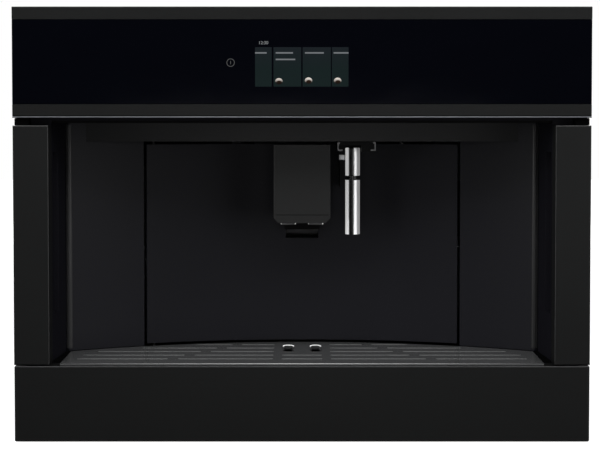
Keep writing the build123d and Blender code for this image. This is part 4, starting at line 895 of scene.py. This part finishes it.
frames = bmesh.new()
z, tall = ventFrames["z"], ventFrames["halfHeight"]
sunk, proud = ventFrames["sunk"], ventFrames["proud"]
rearSpan = (ribs["rearFace"] - sunk, ribs["rearFace"] + proud)
for side in (-1, 1):
    x, wide = side * ventFrames["rearX"], ventFrames["rearHalf"]
    for near, far in frameBars(tall):
        block(frames, (x - wide, x + wide), rearSpan, (z + near, z + far), 0.6)
    for near, far in frameBars(wide):
        block(frames, (x + near, x + far), rearSpan, (z - tall, z + tall), 0.6)
    xs = sided(side, (ribs["sideFace"] - sunk, ribs["sideFace"] + proud))
    depth, long = ventFrames["sideDepth"], ventFrames["sideHalf"]
    for near, far in frameBars(tall):
        block(frames, xs, (depth - long, depth + long), (z + near, z + far), 0.6)
    for near, far in frameBars(long):
        block(frames, xs, (depth + near, depth + far), (z - tall, z + tall), 0.6)
newPiece("vent_frames", frames, "machine", finishes["zinc_sheet"])

# blades of the power inlet: places from the inlet's middle, and half sizes
inlet = {
    "x": 190.0,
    "z": 58.0,
    "depths": (452.0, 464.0),
    "places": ((-7.0, -1.5), (7.0, -1.5), (0.0, 2.6)),
    "halfWidth": 0.9,
    "halfHeight": 2.4,
}
pins = bmesh.new()
wide, tall = inlet["halfWidth"], inlet["halfHeight"]
for across, up in inlet["places"]:
    x, z = inlet["x"] + across, inlet["z"] + up
    block(pins, (x - wide, x + wide), inlet["depths"], (z - tall, z + tall), 0.5)
newPiece("inlet_pins", pins, "machine", finishes["rail_steel"])

# a bar for on and a ring for off
switchMarks = {
    "x": 145.0,
    "depths": (467.8, 469.08),
    "onZ": 61.6,
    "barHalf": (0.35, 1.7),
    "offZ": 54.2,
    "offRadii": (1.35, 1.95),
}
marks = bmesh.new()
x, onZ, depths = switchMarks["x"], switchMarks["onZ"], switchMarks["depths"]
wide, tall = switchMarks["barHalf"]
block(marks, (x - wide, x + wide), depths, (onZ - tall, onZ + tall), 0.1)
offRing = ring(*switchMarks["offRadii"], 0.0, depths[1] - depths[0])
lathe(marks, offRing, at(x, depths[0], switchMarks["offZ"]), "Y", 28, True)
markFinish = mattPlastic("markPaint", (0.62, 0.62, 0.60), 0.5, grain=0.0004)
newPiece("switch_marks", marks, "rocker", markFinish, smooth=False)

# numbered scale round the grind knob
grind = {
    "x": -40.0,
    "depth": 330.0,
    "plateZ": 437.2,
    "scaleRadius": 23.5,
    "tickRadius": 18.2,
    "tick": (0.6, 2.2, 0.3),
    "digitSize": 5.2,
    "steps": 8,
    "sweep": 250.0,
    "pointerHalf": 0.7,
    "pointerReach": (4.0, 14.5),  # back from the knob's middle
    "pointerHeights": (445.7, 446.35),
    "collar": ((16.0, 438.6), (16.5, 438.9), (16.5, 444.6), (16.2, 445.0), (15.8, 445.0), (15.8, 438.6)),
}
scale = bmesh.new()
knobX, knobDepth = grind["x"], grind["depth"]
tickSize = Matrix.Diagonal((*(length / 1000 for length in grind["tick"]), 1.0))
for step in range(grind["steps"]):
    turn = math.radians(-grind["sweep"] / 2 + grind["sweep"] * step / (grind["steps"] - 1))
    across, back = math.sin(turn), math.cos(turn)
    reach = grind["scaleRadius"]
    spot = at(knobX + across * reach, knobDepth + back * reach, grind["plateZ"] + 0.06)
    digits(scale, str(step + 1), grind["digitSize"], Matrix.Translation(spot), centred=True, thickness=0.08)
    reach = grind["tickRadius"]
    spot = at(knobX + across * reach, knobDepth + back * reach, grind["plateZ"])
    tick = Matrix.Translation(spot) @ Matrix.Rotation(-turn, 4, "Z") @ tickSize
    bmesh.ops.create_cube(scale, size=1.0, matrix=tick)
scaleFinish = mattPlastic("scalePaint", (0.02, 0.02, 0.022), 0.5)
newPiece("grind_scale", scale, "machine", scaleFinish, smooth=False)

# the knob's pointer line and the band round it
pointer = bmesh.new()
xs = (knobX - grind["pointerHalf"], knobX + grind["pointerHalf"])
depths = [knobDepth + reach for reach in grind["pointerReach"]]
block(pointer, xs, depths, grind["pointerHeights"], 0.15)
lathe(pointer, grind["collar"], at(knobX, knobDepth, 0.0), "Z", 48, True)
pointerFinish = mattPlastic("pointerPlastic", (0.25, 0.25, 0.25), 0.45)
newPiece("knob_pointer", pointer, "grind_setting", pointerFinish, smooth=False)

# finger ribs on the bean lid and on the tank's lid
lidGrips = {
    "beanXs": (-196.0, -118.0),
    "beanDepth": 252.0,
    "beanStep": 2.4,
    "beanRibs": 5,
    "beanRibWidth": 1.2,
    "beanHeights": (443.2, 444.4),
    "tankXs": (184.0, 226.0),
    "tankDepth": 312.0,
    "tankStep": 5.0,
    "tankRibs": 3,
    "tankRibWidth": 3.0,
    "tankHeights": (434.9, 436.6),
}
grips = bmesh.new()
for rib in range(lidGrips["beanRibs"]):
    depth = lidGrips["beanDepth"] + rib * lidGrips["beanStep"]
    depths = (depth, depth + lidGrips["beanRibWidth"])
    block(grips, lidGrips["beanXs"], depths, lidGrips["beanHeights"], 0.4)
beanGripFinish = mattPlastic("lidRibs", (0.02, 0.018, 0.016), 0.35)
newPiece("bean_lid_grip", grips, "bean_cover", beanGripFinish)
grips = bmesh.new()
for rib in range(lidGrips["tankRibs"]):
    depth = lidGrips["tankDepth"] + rib * lidGrips["tankStep"]
    depths = (depth, depth + lidGrips["tankRibWidth"])
    block(grips, lidGrips["tankXs"], depths, lidGrips["tankHeights"], 0.7)
newPiece("tank_lid_grip", grips, "tank_cover", finishes["black_plastic"])
print("stage: body, rear and top")


# chips, capacitors and sockets on the rear of the control board: places from its middle, across and up
board = {
    "rear": 13.4,
    "z": 395.3,
    "chips": ((-70.0, 8.0, 9.0), (-38.0, -10.0, 6.0), (52.0, 6.0, 7.5)),  # with half sizes
    "chipHeight": 1.7,
    "cans": ((-92.0, -14.0), (-80.0, -14.0), (84.0, 12.0), (96.0, 12.0)),
    "canSection": ((0.0, 0.0), (2.9, 0.0), (3.1, 0.3), (3.1, 2.9), (2.7, 3.3), (0.0, 3.3)),
    "sockets": ((-20.0, 20.0), (28.0, 20.0), (72.0, -20.0)),
    "socketHalf": (7.0, 2.6),
    "socketHeight": 3.5,
}
rear = board["rear"]
chips, cans, sockets = bmesh.new(), bmesh.new(), bmesh.new()
for x, up, half in board["chips"]:
    z = board["z"] + up
    block(chips, (x - half, x + half), (rear, rear + board["chipHeight"]), (z - half, z + half), 0.3)
for x, up in board["cans"]:
    lathe(cans, board["canSection"], at(x, rear, board["z"] + up), "Y", 20)
wide, tall = board["socketHalf"]
for x, up in board["sockets"]:
    z = board["z"] + up
    block(sockets, (x - wide, x + wide), (rear, rear + board["socketHeight"]), (z - tall, z + tall), 0.4)
newPiece("board_chips", chips, "machine", finishes["black_plastic"], smooth=False)
newPiece("board_capacitors", cans, "machine", finishes["burr_steel"])
newPiece("board_sockets", sockets, "machine", finishes["pale_plastic"], smooth=False)


def roundBands(name, place, radius, heights, slotName, half=3.0, proud=0.7):
    # flat bands with eased edges round an upright cylinder
    shape, outer = bmesh.new(), radius + proud
    for z in heights:
        low, high = z - half, z + half
        section = [
            (radius - 0.4, low), (outer - 0.2, low), (outer, low + 0.4),
            (outer, high - 0.4), (outer - 0.2, high), (radius - 0.4, high),
        ]
        lathe(shape, section, place, "Z", 56, True)
    newPiece(name, shape, "machine", finishes[slotName])


# steel bands round the grinder motor, clamps round the coffee boiler, and the boiler's thermostat
motor = {"x": -157.0, "depth": 331.0, "radius": 33.0, "bands": (197.0, 258.0)}
boiler = {"x": 118.0, "depth": 226.0, "radius": 34.0, "clamps": (214.0, 262.0)}
thermostat = {
    "x": 137.0,
    "depth": 226.0,
    "foot": 283.0,
    "section": ((0.0, 0.0), (6.5, 0.0), (6.5, 2.0), (5.3, 2.6), (5.3, 6.6), (4.7, 7.2), (0.0, 7.2)),
}
motorPlace, boilerPlace = (at(piece["x"], piece["depth"], 0.0) for piece in (motor, boiler))
roundBands("motor_bands", motorPlace, motor["radius"], motor["bands"], "motor_steel")
roundBands("boiler_clamps", boilerPlace, boiler["radius"], boiler["clamps"], "rail_steel")
sensor = bmesh.new()
sensorPlace = at(thermostat["x"], thermostat["depth"], thermostat["foot"])
lathe(sensor, thermostat["section"], sensorPlace, "Z", 28)
newPiece("boiler_thermostat", sensor, "machine", finishes["black_plastic"])
print("stage: inner parts")


studio = {
    "cameraPlace": (0.0, frontY - 1.5, 0.353),
    "cameraPitch": 2.0,  # degrees down
    "cameraLens": 87.64,
    "cameraShift": (-0.0033, -0.1262),
    "floorRadius": 5.0,
    "floorTone": (0.90, 0.90, 0.90),
    "floorGlow": 0.6,  # keeps the floor pale near the object, and it rises to 1 farther out
    "glowSpan": (0.6, 4.5),  # square metres: the squared distance over which it rises
    "roomFront": 0.03,  # what the surroundings give from behind the camera and from below
    "roomSides": 0.40,
    "roomTop": 0.25,
    "backdrop": 1.25,  # what the camera sees of the room
}
# softboxes: place, target, size in metres, watts
lamps = {
    "keyLight": ((0.0, -0.95, 1.25), (0.0, frontY, 0.25), (1.6, 0.7), 18.5),
    "frontFill": ((0.0, -2.4, 0.12), (0.0, frontY, 0.25), (0.9, 0.4), 3.4),
    "leftFill": ((-1.5, -1.1, 0.6), (0.0, frontY, 0.2), (0.8, 1.3), 14.0),
    "rightFill": ((1.1, -1.2, 0.45), (0.05, frontY, 0.25), (0.7, 1.3), 7.4),
    "backLight": ((0.0, 2.3, 0.9), (0.0, 0.2, 0.2), (2.2, 1.5), 15.0),
}
camera = bpy.data.objects.new("camera", bpy.data.cameras.new("camera"))
bpy.context.collection.objects.link(camera)
camera.data.lens = studio["cameraLens"]
camera.data.shift_x, camera.data.shift_y = studio["cameraShift"]
camera.location = studio["cameraPlace"]
camera.rotation_euler = (math.radians(90.0 - studio["cameraPitch"]), 0.0, 0.0)
bpy.context.scene.camera = camera
bpy.context.scene.view_settings.view_transform = "Standard"

# the room is white to the camera; to the object it is dark in front and below, lighter beside and above
world = bpy.data.worlds.new("studio")
bpy.context.scene.world = world
world.use_nodes = True
room = Graph(tree=world.node_tree)
room.place = room.node("ShaderNodeTexCoord")  # Generated, which is the direction out of the scene
eastward, upward = axisOf(room, 0), axisOf(room, 2)
sides = room.ramp(eastward.maths("ABSOLUTE", eastward), 0.0, studio["roomSides"], 0.35, 0.9)
above = room.ramp(upward, 0.0, studio["roomTop"], 0.3, 0.9)
level = room.ramp(upward, 0.15, 1.0, -0.35, 0.1)
seen = room.node("ShaderNodeLightPath")  # 1 where the camera looks straight at it
strength = ((sides + above) * level + studio["roomFront"]) * (1.0 - seen) + seen * studio["backdrop"]
sky = room.node("ShaderNodeBackground", {}, {"Strength": strength})
worldEnd = room.tree.nodes.new("ShaderNodeOutputWorld")
room.tree.links.new(sky.socket, worldEnd.inputs["Surface"])

for name, (place, target, size, watts) in lamps.items():
    lamp = bpy.data.lights.new(name, "AREA")
    lamp.shape, lamp.size, lamp.size_y, lamp.energy = "RECTANGLE", size[0], size[1], watts
    holder = bpy.data.objects.new(name, lamp)
    bpy.context.collection.objects.link(holder)
    holder.location = place
    holder.rotation_euler = (Vector(target) - Vector(place)).to_track_quat("-Z", "Y").to_euler()

floorShape = bmesh.new()
bmesh.ops.create_circle(floorShape, cap_ends=True, segments=96, radius=studio["floorRadius"])
floorData = bpy.data.meshes.new("floor")
floorShape.to_mesh(floorData)
floorShape.free()
floor = bpy.data.objects.new("floor", floorData)
bpy.context.collection.objects.link(floor)
floorGraph = Graph("paleFloor")
floorCloud = floorGraph.noise(0.8)
eastward, northward = axisOf(floorGraph, 0), axisOf(floorGraph, 1)
farOut = floorGraph.ramp(eastward * eastward + northward * northward, 0.0, 1.0, *studio["glowSpan"])
floorData.materials.append(floorGraph.surface(**{
    "Base Color": floorGraph.tint(floorCloud, scaled(studio["floorTone"], 0.985), studio["floorTone"]),
    "Roughness": floorGraph.ramp(floorCloud, 0.7, 0.8),
    "Specular IOR Level": 0.1,
    "Emission Color": floorGraph.tint(farOut, (studio["floorGlow"],) * 3, (1.0, 1.0, 1.0)),
    "Emission Strength": 1.0,
}))
floor.visible_diffuse = floor.visible_glossy = False  # it doesn't light the object from below
floor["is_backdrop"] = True
print("stage: camera, lights and floor")


bpy.context.view_layer.update()
low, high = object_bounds()
